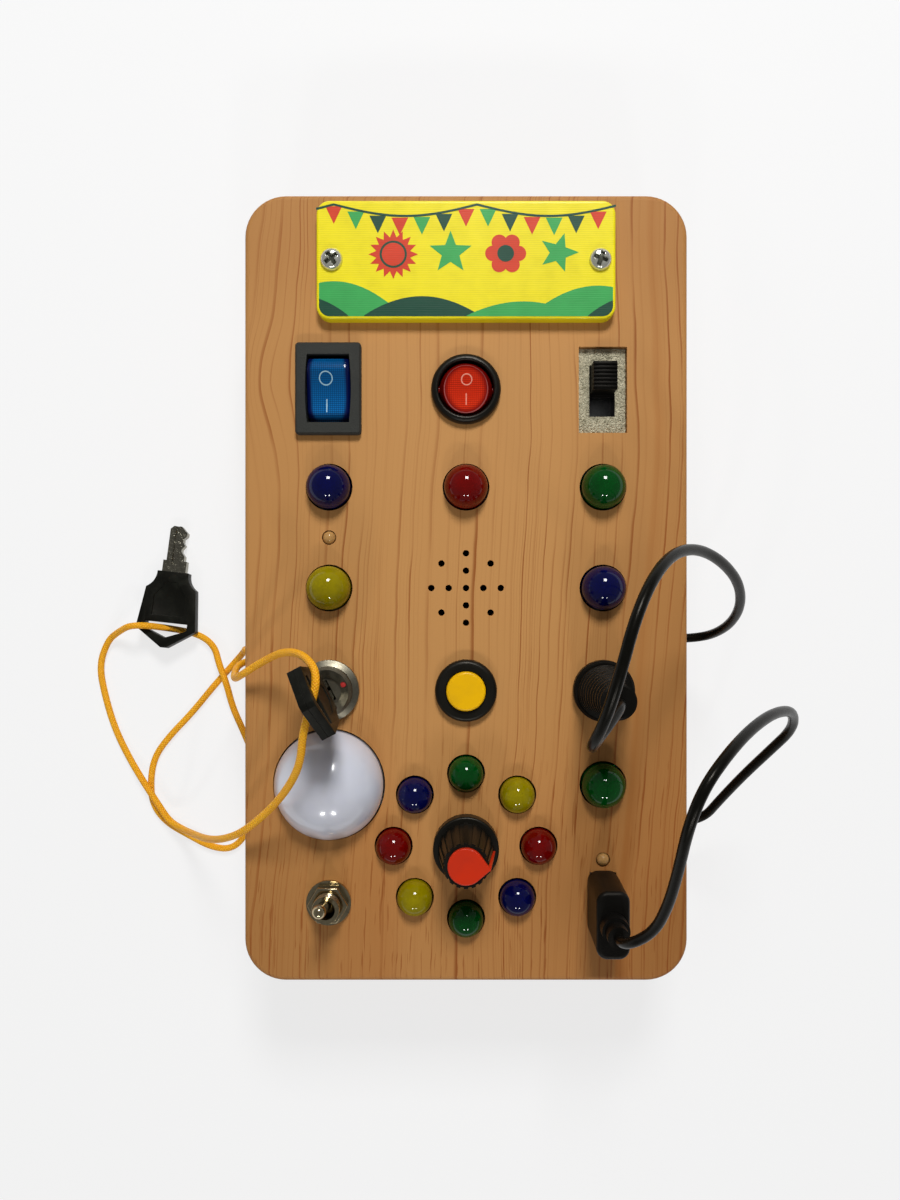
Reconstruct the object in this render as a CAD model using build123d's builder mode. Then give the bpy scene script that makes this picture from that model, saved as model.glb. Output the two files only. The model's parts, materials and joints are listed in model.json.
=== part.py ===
from build123d import *

import math
import os

os.makedirs("parts", exist_ok=True)

# Wooden busy board lying on its back: +Z points out of the face, +Y towards the sign.
# The origin is on the surface it stands on, under the middle of the case. All sizes in mm.

# ---- case ----
BOARD_CORNER = 9.5
FOOT_HEIGHT = 1.5
FOOT_RADIUS = 4.0
FOOT_INSET = 10.2
COVER_THICKNESS = 3.5
CASE_HEIGHT = 30.0
PANEL_THICKNESS = 5.0
WALL = 7.0
BATTERY_WALL = 4.7
CAVITY_CORNER = 4.0
EDGE_ROUND = 1.2
COVER_EDGE = 0.6
COVER_SCREW_INSET = 16.5
COVER_SCREW_ROWS = 3

# ---- spaces between the controls on the face ----
COLUMN = 31.5
COLUMN_MARGIN = 19.5
TOP_MARGIN = 16.0
BOTTOM_MARGIN = 18.3
BAY_TO_SWITCHES = 2.35
SWITCHES_TO_LAMPS = 6.9
LAMPS_TO_SPEAKER = 4.2
SPEAKER_TO_CONTROLS = 2.5
LOCK_TO_DOME = 2.2
DOME_TO_TOGGLE = 8.0
RING_TO_TOGGLE_ROW = 12.9
CLEAR_LAMP_TO_SOCKET = 0.35

# ---- general fits ----
SLIP = 0.05  # radial play of a shaft in its bore
FIT = 0.15  # play of a part dropped into its hole
GAP = 0.3  # clear distance between pieces that only pass each other

# ---- fasteners ----
WOOD_SCREW_RADIUS = 1.3
WOOD_SCREW_HEAD = 2.8
WOOD_SCREW_LENGTH = 14.0
LID_SCREW_RADIUS = 1.25
LID_SCREW_HEAD = 2.55
LID_SCREW_HEAD_HEIGHT = 1.5
LID_SCREW_LENGTH = 12.0
LID_SCREW_TO_BOX = 4.0
SCREW_POINT = 1.5
CROSS_LENGTH = 2.6
CROSS_WIDTH = 0.65
CROSS_DEPTH = 0.8

# ---- battery bay under the sign ----
SIGN_END = 3.5
SIGN_LENGTH = 27.0
SIGN_THICKNESS = 3.0
SIGN_CORNER = 3.0
SIGN_EDGE = 0.6
HOLDER_HEIGHT = 13.0
HOLDER_WALL = 1.2
HOLDER_END = 1.0
HOLDER_FLOOR = 1.5
BAY_GAP = 0.3
BAY_CORNER = 1.6
CELL_RADIUS = 5.25
CELL_LENGTH = 44.5
CELL_NUB_RADIUS = 1.9
CELL_NUB_LENGTH = 0.8
CELL_SPACING = 10.8
CELL_SIDE_PLAY = 0.15
CONTACT_SIZE = 8.0
CONTACT_THICKNESS = 0.4
CONTACT_SPRING_RADIUS = 2.4
CONTACT_WIRE = 0.3
CONTACT_TURNS = 3
CONTACT_SPRING_LENGTH = 5.7
BATTERY_WIRE_COLUMN = -16.0
BATTERY_WIRE_SPACING = 2.4
BATTERY_WIRE_HOLE = 2.2

# ---- blue rocker switch ----
ROCKER_TILT = 10.0
BEZEL_WIDTH = 15.0
BEZEL_LENGTH = 21.0
BEZEL_HEIGHT = 2.0
BEZEL_CORNER = 0.8
BEZEL_EDGE = 0.4
ROCKER_BODY_WIDTH = 13.1
ROCKER_BODY_LENGTH = 19.1
ROCKER_BODY_DEPTH = 13.5
ROCKER_FLOOR = 2.5
WELL_END_WIDTH = 9.6
WELL_MIDDLE_WIDTH = 10.5
WELL_LENGTH = 15.6
PADDLE_WIDTH = 9.1
PADDLE_PIVOT_DEPTH = 2.0
PADDLE_RIDGE = (6.2, 3.9)
PADDLE_VALLEY = 2.9
PADDLE_SHOULDER = (7.3, 2.2)
PADDLE_SKIRT = (7.3, -1.0)
PADDLE_KEEL = (3.0, -3.0)
PADDLE_EDGE = 0.7
ROCKER_PIN_RADIUS = 1.0
ROCKER_PIN_REACH = 5.95

# ---- red round rocker switch ----
RING_RADIUS = 8.0
RING_HEIGHT = 2.2
RING_BODY_RADIUS = 7.0
RING_BODY_DEPTH = 12.0
RING_FLOOR = 3.0
RING_WELL_RADIUS = 6.35
RING_OUTER_ROUND = 1.3
RING_INNER_ROUND = 0.45
DISC_PIVOT_DEPTH = 1.0
DISC_RIM = (5.15, 3.3)
DISC_CENTRE = 2.9
DISC_SHOULDER = (6.05, 1.0)
DISC_SKIRT = (6.05, -0.9)
DISC_KEEL = (3.0, -2.6)
DISC_PIN_REACH = 6.7

# ---- slide switch ----
SLIDE_RECESS_DEPTH = 2.3
SLIDE_PLATE_WIDTH = 10.8
SLIDE_PLATE_LENGTH = 19.5
SLIDE_PLATE_THICKNESS = 0.8
SLIDE_TRAVEL = 5.0
SLIDE_KNOB_WIDTH = 5.4
SLIDE_KNOB_LENGTH = 6.4
SLIDE_KNOB_HEIGHT = 6.0
SLIDE_KNOB_PLAY = 0.25
SLIDE_RIDGES = 7
SLIDE_RIDGE_PITCH = 0.88
SLIDE_RIDGE_HEIGHT = 0.35
SLIDE_RIDGE_WIDTH = 0.42
SLIDE_BODY_WIDTH = 8.6
SLIDE_BODY_LENGTH = 15.2
SLIDE_BODY_DEPTH = 8.2
SLIDE_BODY_WALL = 1.0
SLIDE_SHOE_LENGTH = 7.6
SLIDE_SHOE_HEIGHT = 2.5

# ---- push button ----
BUTTON_TRAVEL = 2.5
BUTTON_RING_RADIUS = 7.1
BUTTON_RING_HEIGHT = 2.2
BUTTON_RING_ROUND = 1.0
PANEL_THREAD_RADIUS = 5.9
BUTTON_DEPTH = 15.0
BUTTON_FLOOR = 2.0
BUTTON_CAP_RADIUS = 4.5
BUTTON_CAP_PROUD = 1.2
BUTTON_CAP_PLAY = 0.2
BUTTON_FLANGE_RADIUS = 5.0
BUTTON_FLANGE_HEIGHT = 1.8
BUTTON_SHOULDER_DEPTH = 3.0
BUTTON_SPRING_RADIUS = 3.2
BUTTON_SPRING_WIRE = 0.3
BUTTON_SPRING_TURNS = 4
PANEL_NUT_FLATS = 14.0
PANEL_NUT_HEIGHT = 3.5

# ---- key switch and its keys ----
LOCK_FLANGE_RADIUS = 7.0
LOCK_FLANGE_HEIGHT = 1.2
LOCK_FACE_RADIUS = 5.65
LOCK_FACE_HEIGHT = 4.5
LOCK_DISH = 0.6
LOCK_DEPTH = 19.0
LOCK_FLOOR = 4.0
LOCK_BODY_BORE = 3.95
LOCK_MOUTH_BORE = 3.25
LOCK_STEP_HEIGHT = 1.0
LOCK_ROTOR_SUNK = 0.5
LOCK_DOT_RADIUS = 0.7
LOCK_DOT_PLACE = 4.15
LOCK_DOT_ANGLE = 24.0
LOCK_DOT_DEPTH = 0.3
KEY_ANGLE = -62.3
KEY_INSERTED = 6.5
KEYWAY_PLAY = 0.15
BLADE_WIDTH = 4.6
BLADE_THICKNESS = 2.0
BLADE_LENGTH = 9.2
COLLAR_WIDTH = 6.2
COLLAR_LENGTH = 3.0
TANG_WIDTH = 5.2
TANG_LENGTH = 4.8
BLADE_GROOVE_WIDTH = 0.9
BLADE_GROOVE_DEPTH = 0.45
BOW_LENGTH = 20.0
BOW_THICKNESS = 3.2
BOW_NECK_WIDTH = 8.2
BOW_SHOULDER_WIDTH = 13.0
BOW_SHOULDER_LENGTH = 4.4
BOW_WIDTH = 15.6
BOW_POINT = 4.8
BOW_EDGE = 0.35
BOW_HOLE_WIDTH = 11.0
BOW_HOLE_END = 1.8
BOW_HOLE_MIDDLE = 4.0
BOW_HOLE_FROM_POINT = 2.6
BOW_PANEL_DEPTH = 0.3
SPARE_TIP = (-75.7, 16.2)
SPARE_TURN = 6.1
SPARE_TILT = 5.5

# ---- toggle switch ----
TOGGLE_TILT = 12.0
TOGGLE_BODY_WIDTH = 8.0
TOGGLE_BODY_LENGTH = 13.0
TOGGLE_BODY_DEPTH = 9.0
TOGGLE_THREAD_RADIUS = 3.0
TOGGLE_BUSHING_HEIGHT = 6.0
TOGGLE_BORE = 2.15
TOGGLE_PIVOT_HEIGHT = 2.0
TOGGLE_BALL_RADIUS = 2.1
TOGGLE_LEVER_TOP = 13.5
TOGGLE_LEVER_ROOT_RADIUS = 1.0
TOGGLE_LEVER_TIP_RADIUS = 1.5
TOGGLE_TAIL_RADIUS = 0.8
TOGGLE_TAIL_LENGTH = 5.2
TOGGLE_WASHER_RADIUS = 5.15
TOGGLE_WASHER_THICKNESS = 0.8
TOGGLE_NUT_FLATS = 8.0
TOGGLE_NUT_HEIGHT = 2.2

# ---- potentiometer and its knob ----
POT_RADIUS = 8.0
POT_DEPTH = 7.5
POT_THREAD_RADIUS = 3.45
POT_BUSHING_HEIGHT = 2.6
POT_NUT_FLATS = 10.0
POT_NUT_HEIGHT = 1.8
POT_SHAFT_RADIUS = 3.0
POT_SHAFT_SUNK = 6.0
POT_SHAFT_HEIGHT = 13.0
KNOB_CLEAR = 0.6
KNOB_SKIRT_RADIUS = 7.5
KNOB_SKIRT_HEIGHT = 3.2
KNOB_SKIRT_ROUND = 0.5
KNOB_HOLLOW_RADIUS = 6.0
KNOB_HOLLOW_HEIGHT = 2.4
KNOB_FOOT_RADIUS = 6.0
KNOB_TOP_RADIUS = 4.6
KNOB_HEIGHT = 15.4
KNOB_RIBS = 18
KNOB_RIB_WIDTH = 0.9
KNOB_RIB_HEIGHT = 0.3
POINTER_ANGLE = -7.0
POINTER_DISC_RADIUS = 3.95
POINTER_TIP = 5.4
POINTER_FIN_WIDTH = 1.2
POINTER_THICKNESS = 1.0

# ---- lamps ----
LARGE_LED = 5.0
LARGE_LED_PROUD = 6.4
SMALL_LED = 4.0
SMALL_LED_PROUD = 4.6
CLEAR_LED = 1.5
CLEAR_LED_PROUD = 0.9
LED_FLANGE_OVERHANG = 0.9
CLEAR_FLANGE_OVERHANG = 0.45
LED_FLANGE_THICKNESS = 1.6
LED_HOLE_PLAY = 0.4
LED_RING_RADIUS = 16.65
LED_RING_COLOURS = ["green", "yellow", "red", "blue"] * 2
LEAD_SPACING = 2.54
LEAD_WIDTH = 0.5
DOME_RADIUS = 12.5
DOME_HEIGHT = 11.0
DOME_COLLAR = 1.0
DOME_WALL = 1.4
DOME_FLANGE_RADIUS = 13.6
DOME_FLANGE_THICKNESS = 1.5
DOME_BASE_THICKNESS = 1.5
LAMP_LED = 2.5
LAMP_LED_HEIGHT = 8.6

# ---- speaker ----
GRILLE_HOLE_RADIUS = 0.75
GRILLE_INNER_RADIUS = 4.0
GRILLE_OUTER_RADIUS = 8.0
GRILLE_INNER_COUNT = 4
GRILLE_OUTER_COUNT = 8
SPEAKER_RADIUS = 14.0
SPEAKER_RIM = 1.4
SPEAKER_DEPTH = 5.0
SPEAKER_MAGNET_RADIUS = 6.0
SPEAKER_MAGNET_DEPTH = 4.0
SPEAKER_PLATE = 0.8
CONE_TOP = 0.6
CONE_INNER_RADIUS = 4.0
CONE_DROP = 2.6
CONE_THICKNESS = 0.5

# ---- jack socket and plug ----
JACK_BODY_WIDTH = 11.0
JACK_BODY_LENGTH = 9.0
JACK_BODY_DEPTH = 9.0
JACK_THREAD_RADIUS = 3.0
JACK_BUSHING_HEIGHT = 1.9
JACK_BORE = 1.85
JACK_NUT_RADIUS = 4.0
JACK_NUT_HEIGHT = 1.7
JACK_PIN_RADIUS = 1.75
JACK_PIN_LENGTH = 14.4
JACK_PIN_ROOT_RADIUS = 2.6
JACK_PIN_ROOT_LENGTH = 6.0
GRIP_CLEAR = 0.3
GRIP_RECESS_RADIUS = 4.4
GRIP_RECESS_DEPTH = 2.2
GRIP_BASE_RADIUS = 7.0
GRIP_BASE_HEIGHT = 2.6
GRIP_FOOT_RADIUS = 6.1
GRIP_TOP_RADIUS = 3.85
GRIP_HEIGHT = 23.0
GRIP_RIBS = 9
GRIP_RIB_DEPTH = 0.5

# ---- USB-style socket and plug ----
USB_SHELL_THICK = 4.5
USB_SHELL_WIDE = 12.0
USB_SHELL_WALL = 0.3
USB_INSERTED = 11.7
USB_ROOT_LENGTH = 5.0
USB_SOCKET_PLAY = 0.25
USB_SOCKET_WALL = 0.4
USB_SOCKET_DEPTH = 16.0
USB_SOCKET_FLOOR = 1.2
USB_SOCKET_SUNK = 0.2
USB_FLANGE_WIDTH = 10.0
USB_FLANGE_LENGTH = 14.8
USB_FLANGE_THICKNESS = 2.0
USB_TONGUE_THICKNESS = 1.5
USB_TONGUE_WIDTH = 10.6
USB_TONGUE_SHORT = 1.6
USB_BLOCK_THICKNESS = 1.8
USB_BODY_THICK = 7.2
USB_BODY_WIDE = 14.6
USB_BODY_HEIGHT = 15.7
USB_BODY_CORNER = 2.4
USB_BODY_EDGE = 0.9
USB_COLLAR_RADIUS = 3.0
USB_COLLAR_HEIGHT = 3.6
USB_NECK_RADIUS = 2.3
USB_NECK_HEIGHT = 3.4

# ---- cables, key cord and what they pass through ----
CABLE_RADIUS = 1.1
JACK_CABLE_EXIT = 11.0
USB_CABLE_EXIT = 14.2
GROMMET_RADIUS = 2.9
GROMMET_FLANGE_RADIUS = 4.0
GROMMET_FLANGE = 1.0
CABLE_TAIL_REACH = 13.0
CORD_RADIUS = 0.85
CORD_EXIT = 6.5
CORD_SPACING = 2.0
EYELET_RADIUS = 3.2
EYELET_BORE = 2.3
EYELET_FLANGE_RADIUS = 4.1
EYELET_FLANGE = 0.8
KNOT_RADIUS = 2.7
KNOT_REACH = 3.6

# ---- circuit board and wiring ----
BOARD_PLATE_SIDE_MARGIN = 4.0
BOARD_PLATE_THICKNESS = 1.6
BOARD_PLATE_MARGIN = 4.5
SPACER_HEIGHT = 4.0
SPACER_FOOT_RADIUS = 3.8
SPACER_FOOT_HEIGHT = 1.0
SPACER_RADIUS = 2.4
SPACER_NECK_RADIUS = 1.45
SPACER_HEAD_RADIUS = 2.1
SPACER_HEAD_HEIGHT = 1.3
SPACER_INSET = 4.0
WIRE_RADIUS = 0.55
TERMINAL_THICKNESS = 0.8
TERMINAL_LENGTH = 5.0
BATTERY_WIRE_BEND = 3.0
BATTERY_WIRE_DROP = 10.0
CHIP_HEIGHT = 3.2
CAPACITOR_RADIUS = 3.0
CAPACITOR_HEIGHT = 7.0
RESISTOR_HEIGHT = 1.2


# ---------------------------------------------------------------- helpers
def post(radius, bottom, top, spots=((0, 0),), mode=Mode.ADD):
    """Round column at each spot, from one height to another."""
    with BuildSketch(Plane.XY.offset(bottom)) as outline:
        with Locations(*spots):
            Circle(radius)
    extrude(outline.sketch, amount=top - bottom, mode=mode)


def block(width, length, bottom, top, spots=((0, 0),), corner=0.0, mode=Mode.ADD):
    """Rectangular block at each spot, with rounded upright edges if a corner is given."""
    with BuildSketch(Plane.XY.offset(bottom)) as outline:
        with Locations(*spots):
            if corner:
                RectangleRounded(width, length, corner)
            else:
                Rectangle(width, length)
    extrude(outline.sketch, amount=top - bottom, mode=mode)


def turned(profile, centre=(0, 0), mode=Mode.ADD):
    """Solid turned about the upright line through centre; profile holds (radius, height) corners."""
    upright = Plane(origin=(centre[0], centre[1], 0), x_dir=(1, 0, 0), z_dir=(0, -1, 0))
    with BuildSketch(upright) as section:
        with BuildLine():
            Polyline(*profile, close=True)
        make_face()
    revolve(section.sketch, axis=Axis(upright.origin, (0, 0, 1)), mode=mode)


def hex_nut(flats, bore, bottom, top, centre):
    """Hexagonal nut with two of its flats facing +Y and -Y."""
    with BuildSketch(Plane.XY.offset(bottom)) as outline:
        with Locations(centre):
            RegularPolygon(flats / 2, 6, major_radius=False)
            Circle(bore, mode=Mode.SUBTRACT)
    extrude(outline.sketch, amount=top - bottom)


def cross_recess(spot, surface, inward):
    """Cross-shaped driver recess cut into a screw head; inward is -1 or +1 along Z."""
    with BuildSketch(Plane.XY.offset(surface)) as cross:
        with Locations(spot):
            Rectangle(CROSS_LENGTH, CROSS_WIDTH)
            Rectangle(CROSS_WIDTH, CROSS_LENGTH)
    extrude(cross.sketch, amount=inward * CROSS_DEPTH, mode=Mode.SUBTRACT)


def side_bore(radius, row, height, start, end, mode=Mode.SUBTRACT):
    """Round bar or bore that lies along X, from one X to another."""
    with BuildSketch(Plane.YZ.offset(start)) as outline:
        with Locations((row, height)):
            Circle(radius)
    extrude(outline.sketch, amount=end - start, mode=mode)


def largest_bends(route):
    """Radius of each corner's arc: as large as its two runs allow."""
    radii = []
    for before, here, after in zip(route, route[1:], route[2:]):
        run_in = Vector(*here) - Vector(*before)
        run_out = Vector(*after) - Vector(*here)
        half_turn = math.radians(run_in.get_angle(run_out)) / 2
        radii.append(0.45 * min(run_in.length, run_out.length) / math.tan(half_turn))
    return radii


def save(piece, name):
    """Labels a finished piece and writes its STEP file."""
    piece.part.label = name
    export_step(piece.part, f"parts/{name}.step")


# ---------------------------------------------------------------- shared places
COVER_BOTTOM = FOOT_HEIGHT
CASE_BOTTOM = COVER_BOTTOM + COVER_THICKNESS
FACE = CASE_BOTTOM + CASE_HEIGHT
PANEL_UNDER = FACE - PANEL_THICKNESS
SIDE_HOLE_HEIGHT = FACE / 2
PLATE_BOTTOM = CASE_BOTTOM + SPACER_HEIGHT
PLATE_TOP = PLATE_BOTTOM + BOARD_PLATE_THICKNESS

PLATE_FACE = (CELL_LENGTH + CONTACT_SPRING_LENGTH) / 2
HOLDER_WIDTH = 2 * (PLATE_FACE + CONTACT_THICKNESS + HOLDER_END)
HOLDER_LENGTH = CELL_SPACING + 2 * (CELL_RADIUS + CELL_SIDE_PLAY + HOLDER_WALL)
BAY_LENGTH = HOLDER_LENGTH + 2 * BAY_GAP
BAY_WIDTH = HOLDER_WIDTH + 2 * BAY_GAP
LID_SCREW_REACH = HOLDER_WIDTH / 2 + LID_SCREW_TO_BOX
SIGN_WIDTH = 2 * (LID_SCREW_REACH + SIGN_END)

# rows down the face, each a clear distance below the one above it
SIGN_TO_SWITCHES = BAY_LENGTH / 2 + BATTERY_WALL + BAY_TO_SWITCHES + ROCKER_BODY_LENGTH / 2
SWITCHES_TO_LAMP_ROW = BEZEL_LENGTH / 2 + SWITCHES_TO_LAMPS + LARGE_LED
LAMP_ROW_TO_SPEAKER = LARGE_LED + LAMPS_TO_SPEAKER + SPEAKER_RADIUS
SPEAKER_TO_CONTROL_ROW = SPEAKER_RADIUS + SPEAKER_TO_CONTROLS + PANEL_NUT_FLATS / 2
CONTROL_ROW_TO_DOME = LOCK_FLANGE_RADIUS + LOCK_TO_DOME + DOME_RADIUS
DOME_TO_LOWER_ROW = DOME_RADIUS + DOME_TO_TOGGLE + TOGGLE_BODY_LENGTH / 2
ROW_STEPS = [
    SIGN_TO_SWITCHES,
    SWITCHES_TO_LAMP_ROW,
    LAMP_ROW_TO_SPEAKER,
    SPEAKER_TO_CONTROL_ROW,
    CONTROL_ROW_TO_DOME,
    DOME_TO_LOWER_ROW,
]
BOARD_WIDTH = 2 * (COLUMN + COLUMN_MARGIN)
BOARD_LENGTH = TOP_MARGIN + sum(ROW_STEPS) + BOTTOM_MARGIN
SIGN_ROW = BOARD_LENGTH / 2 - TOP_MARGIN
SWITCH_ROW = SIGN_ROW - SIGN_TO_SWITCHES
UPPER_LED_ROW = SWITCH_ROW - SWITCHES_TO_LAMP_ROW
SPEAKER_ROW = UPPER_LED_ROW - LAMP_ROW_TO_SPEAKER
CONTROL_ROW = SPEAKER_ROW - SPEAKER_TO_CONTROL_ROW
LAMP_ROW = CONTROL_ROW - CONTROL_ROW_TO_DOME
LOWER_ROW = LAMP_ROW - DOME_TO_LOWER_ROW
KNOB_ROW = LOWER_ROW + RING_TO_TOGGLE_ROW
UPPER_CLEAR_ROW = (UPPER_LED_ROW + SPEAKER_ROW) / 2
LOWER_CLEAR_ROW = (
    LOWER_ROW + USB_FLANGE_LENGTH / 2 + CLEAR_LAMP_TO_SOCKET + CLEAR_LED + CLEAR_FLANGE_OVERHANG
)

BLUE_ROCKER = (-COLUMN, SWITCH_ROW)
RED_ROCKER = (0, SWITCH_ROW)
SLIDE = (COLUMN, SWITCH_ROW)
SPEAKER = (0, SPEAKER_ROW)
LOCK = (-COLUMN, CONTROL_ROW)
BUTTON = (0, CONTROL_ROW)
JACK = (COLUMN, CONTROL_ROW)
LAMP = (-COLUMN, LAMP_ROW)
KNOB = (0, KNOB_ROW)
TOGGLE = (-COLUMN, LOWER_ROW)
USB = (COLUMN, LOWER_ROW)
CLEAR_LED_SPOTS = [(-COLUMN, UPPER_CLEAR_ROW), (COLUMN, LOWER_CLEAR_ROW)]
GROMMET_ROWS = [CONTROL_ROW + JACK_CABLE_EXIT, LOWER_ROW + USB_CABLE_EXIT]
CORD_ROW = CONTROL_ROW + CORD_EXIT

WALL_MIDDLE = BOARD_WIDTH / 2 - WALL / 2
INNER_WALL = BOARD_WIDTH / 2 - WALL
BOARD_PLATE_WIDTH = 2 * (INNER_WALL - BOARD_PLATE_SIDE_MARGIN)
COVER_SCREW_SPACING = BOARD_LENGTH / 2 - COVER_SCREW_INSET
BAY_FLOOR = FACE - HOLDER_HEIGHT - BAY_GAP
BAY_EDGE = SIGN_ROW - BAY_LENGTH / 2
CAVITY_TOP = BAY_EDGE - BATTERY_WALL
CAVITY_BOTTOM = -BOARD_LENGTH / 2 + WALL
CAVITY_MIDDLE = (CAVITY_TOP + CAVITY_BOTTOM) / 2
CAVITY_LENGTH = CAVITY_TOP - CAVITY_BOTTOM
LID_SCREWS = [(-LID_SCREW_REACH, SIGN_ROW), (LID_SCREW_REACH, SIGN_ROW)]
COVER_SCREWS = [
    (side * WALL_MIDDLE, (row - (COVER_SCREW_ROWS - 1) / 2) * COVER_SCREW_SPACING)
    for side in (-1, 1)
    for row in range(COVER_SCREW_ROWS)
]
GRILLE_SPOTS = [SPEAKER] + [
    (
        SPEAKER[0] + radius * math.cos(2 * math.pi * step / count),
        SPEAKER[1] + radius * math.sin(2 * math.pi * step / count),
    )
    for radius, count in (
        (GRILLE_INNER_RADIUS, GRILLE_INNER_COUNT),
        (GRILLE_OUTER_RADIUS, GRILLE_OUTER_COUNT),
    )
    for step in range(count)
]
LARGE_LED_SPOTS = {
    "blue": [(-COLUMN, UPPER_LED_ROW), (COLUMN, SPEAKER_ROW)],
    "red": [(0, UPPER_LED_ROW)],
    "green": [(COLUMN, UPPER_LED_ROW), (COLUMN, LAMP_ROW)],
    "yellow": [(-COLUMN, SPEAKER_ROW)],
}
SMALL_LED_SPOTS = {colour: [] for colour in LARGE_LED_SPOTS}
for step, colour in enumerate(LED_RING_COLOURS):
    bearing = math.pi / 2 - 2 * math.pi * step / len(LED_RING_COLOURS)
    SMALL_LED_SPOTS[colour].append(
        (
            KNOB[0] + LED_RING_RADIUS * math.cos(bearing),
            KNOB[1] + LED_RING_RADIUS * math.sin(bearing),
        )
    )
ALL_LARGE_LEDS = [spot for spots in LARGE_LED_SPOTS.values() for spot in spots]
ALL_SMALL_LEDS = [spot for spots in SMALL_LED_SPOTS.values() for spot in spots]
DOME_FLANGE_UNDER = PANEL_UNDER - DOME_FLANGE_THICKNESS
DOME_BASE_BOTTOM = DOME_FLANGE_UNDER - DOME_BASE_THICKNESS
SLIDE_PLATE_BOTTOM = FACE - SLIDE_RECESS_DEPTH
SLIDE_PLATE_TOP = SLIDE_PLATE_BOTTOM + SLIDE_PLATE_THICKNESS
SLIDE_BODY_BOTTOM = SLIDE_PLATE_BOTTOM - SLIDE_BODY_DEPTH
SLIDE_SLOT_WIDTH = SLIDE_KNOB_WIDTH + 2 * SLIDE_KNOB_PLAY
SLIDE_SLOT_LENGTH = SLIDE_KNOB_LENGTH + SLIDE_TRAVEL + 2 * SLIDE_KNOB_PLAY
USB_SOCKET_THICK = USB_SHELL_THICK + 2 * (USB_SOCKET_PLAY + USB_SOCKET_WALL)
USB_SOCKET_WIDE = USB_SHELL_WIDE + 2 * (USB_SOCKET_PLAY + USB_SOCKET_WALL)

# ---------------------------------------------------------------- case
with BuildPart() as wood_case:
    with BuildSketch(Plane.XY.offset(CASE_BOTTOM)):
        RectangleRounded(BOARD_WIDTH, BOARD_LENGTH, BOARD_CORNER)
    extrude(amount=CASE_HEIGHT)
    fillet(wood_case.edges().group_by(Axis.Z)[-1], EDGE_ROUND)
    block(
        2 * INNER_WALL,
        CAVITY_LENGTH,
        CASE_BOTTOM,
        PANEL_UNDER,
        [(0, CAVITY_MIDDLE)],
        CAVITY_CORNER,
        Mode.SUBTRACT,
    )
    block(BAY_WIDTH, BAY_LENGTH, BAY_FLOOR, FACE, [(0, SIGN_ROW)], BAY_CORNER, Mode.SUBTRACT)
    post(LID_SCREW_RADIUS + SLIP, FACE - LID_SCREW_LENGTH, FACE, LID_SCREWS, Mode.SUBTRACT)
    post(
        WOOD_SCREW_RADIUS + SLIP,
        CASE_BOTTOM,
        COVER_BOTTOM + WOOD_SCREW_LENGTH + SCREW_POINT,
        COVER_SCREWS,
        Mode.SUBTRACT,
    )
    block(
        ROCKER_BODY_WIDTH + 2 * FIT,
        ROCKER_BODY_LENGTH + 2 * FIT,
        PANEL_UNDER,
        FACE,
        [BLUE_ROCKER],
        mode=Mode.SUBTRACT,
    )
    post(RING_BODY_RADIUS + FIT, PANEL_UNDER, FACE, [RED_ROCKER], Mode.SUBTRACT)
    block(
        SLIDE_PLATE_WIDTH + 2 * FIT,
        SLIDE_PLATE_LENGTH + 2 * FIT,
        SLIDE_PLATE_BOTTOM,
        FACE,
        [SLIDE],
        mode=Mode.SUBTRACT,
    )
    block(
        SLIDE_BODY_WIDTH + 2 * FIT,
        SLIDE_BODY_LENGTH + 2 * FIT,
        PANEL_UNDER,
        FACE,
        [SLIDE],
        mode=Mode.SUBTRACT,
    )
    post(LARGE_LED + LED_HOLE_PLAY, PANEL_UNDER, FACE, ALL_LARGE_LEDS, Mode.SUBTRACT)
    post(SMALL_LED + LED_HOLE_PLAY, PANEL_UNDER, FACE, ALL_SMALL_LEDS, Mode.SUBTRACT)
    post(CLEAR_LED + FIT, PANEL_UNDER, FACE, CLEAR_LED_SPOTS, Mode.SUBTRACT)
    post(DOME_RADIUS + LED_HOLE_PLAY, PANEL_UNDER, FACE, [LAMP], Mode.SUBTRACT)
    # the flange reaches into the side wall, which is hollowed out for it
    post(DOME_FLANGE_RADIUS + GAP, DOME_BASE_BOTTOM, PANEL_UNDER, [LAMP], Mode.SUBTRACT)
    post(GRILLE_HOLE_RADIUS, PANEL_UNDER, FACE, GRILLE_SPOTS, Mode.SUBTRACT)
    post(PANEL_THREAD_RADIUS + FIT, PANEL_UNDER, FACE, [LOCK, BUTTON], Mode.SUBTRACT)
    post(JACK_THREAD_RADIUS + FIT, PANEL_UNDER, FACE, [JACK], Mode.SUBTRACT)
    post(TOGGLE_THREAD_RADIUS + FIT, PANEL_UNDER, FACE, [TOGGLE], Mode.SUBTRACT)
    post(POT_THREAD_RADIUS + FIT, PANEL_UNDER, FACE, [KNOB], Mode.SUBTRACT)
    block(
        USB_SOCKET_THICK + 2 * FIT,
        USB_SOCKET_WIDE + 2 * FIT,
        PANEL_UNDER,
        FACE,
        [USB],
        mode=Mode.SUBTRACT,
    )
    for row in GROMMET_ROWS:
        side_bore(GROMMET_RADIUS + SLIP, row, SIDE_HOLE_HEIGHT, INNER_WALL, BOARD_WIDTH / 2)
    side_bore(EYELET_RADIUS + SLIP, CORD_ROW, SIDE_HOLE_HEIGHT, -BOARD_WIDTH / 2, -INNER_WALL)
    # passage for the two battery wires, from the battery bay to the cavity
    with BuildSketch(Plane.XZ.offset(-BAY_EDGE)):
        with Locations((BATTERY_WIRE_COLUMN, SIDE_HOLE_HEIGHT + HOLDER_HEIGHT / 2)):
            Circle(BATTERY_WIRE_HOLE)
    extrude(amount=BATTERY_WALL, mode=Mode.SUBTRACT)
save(wood_case, "wood_case")

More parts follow.
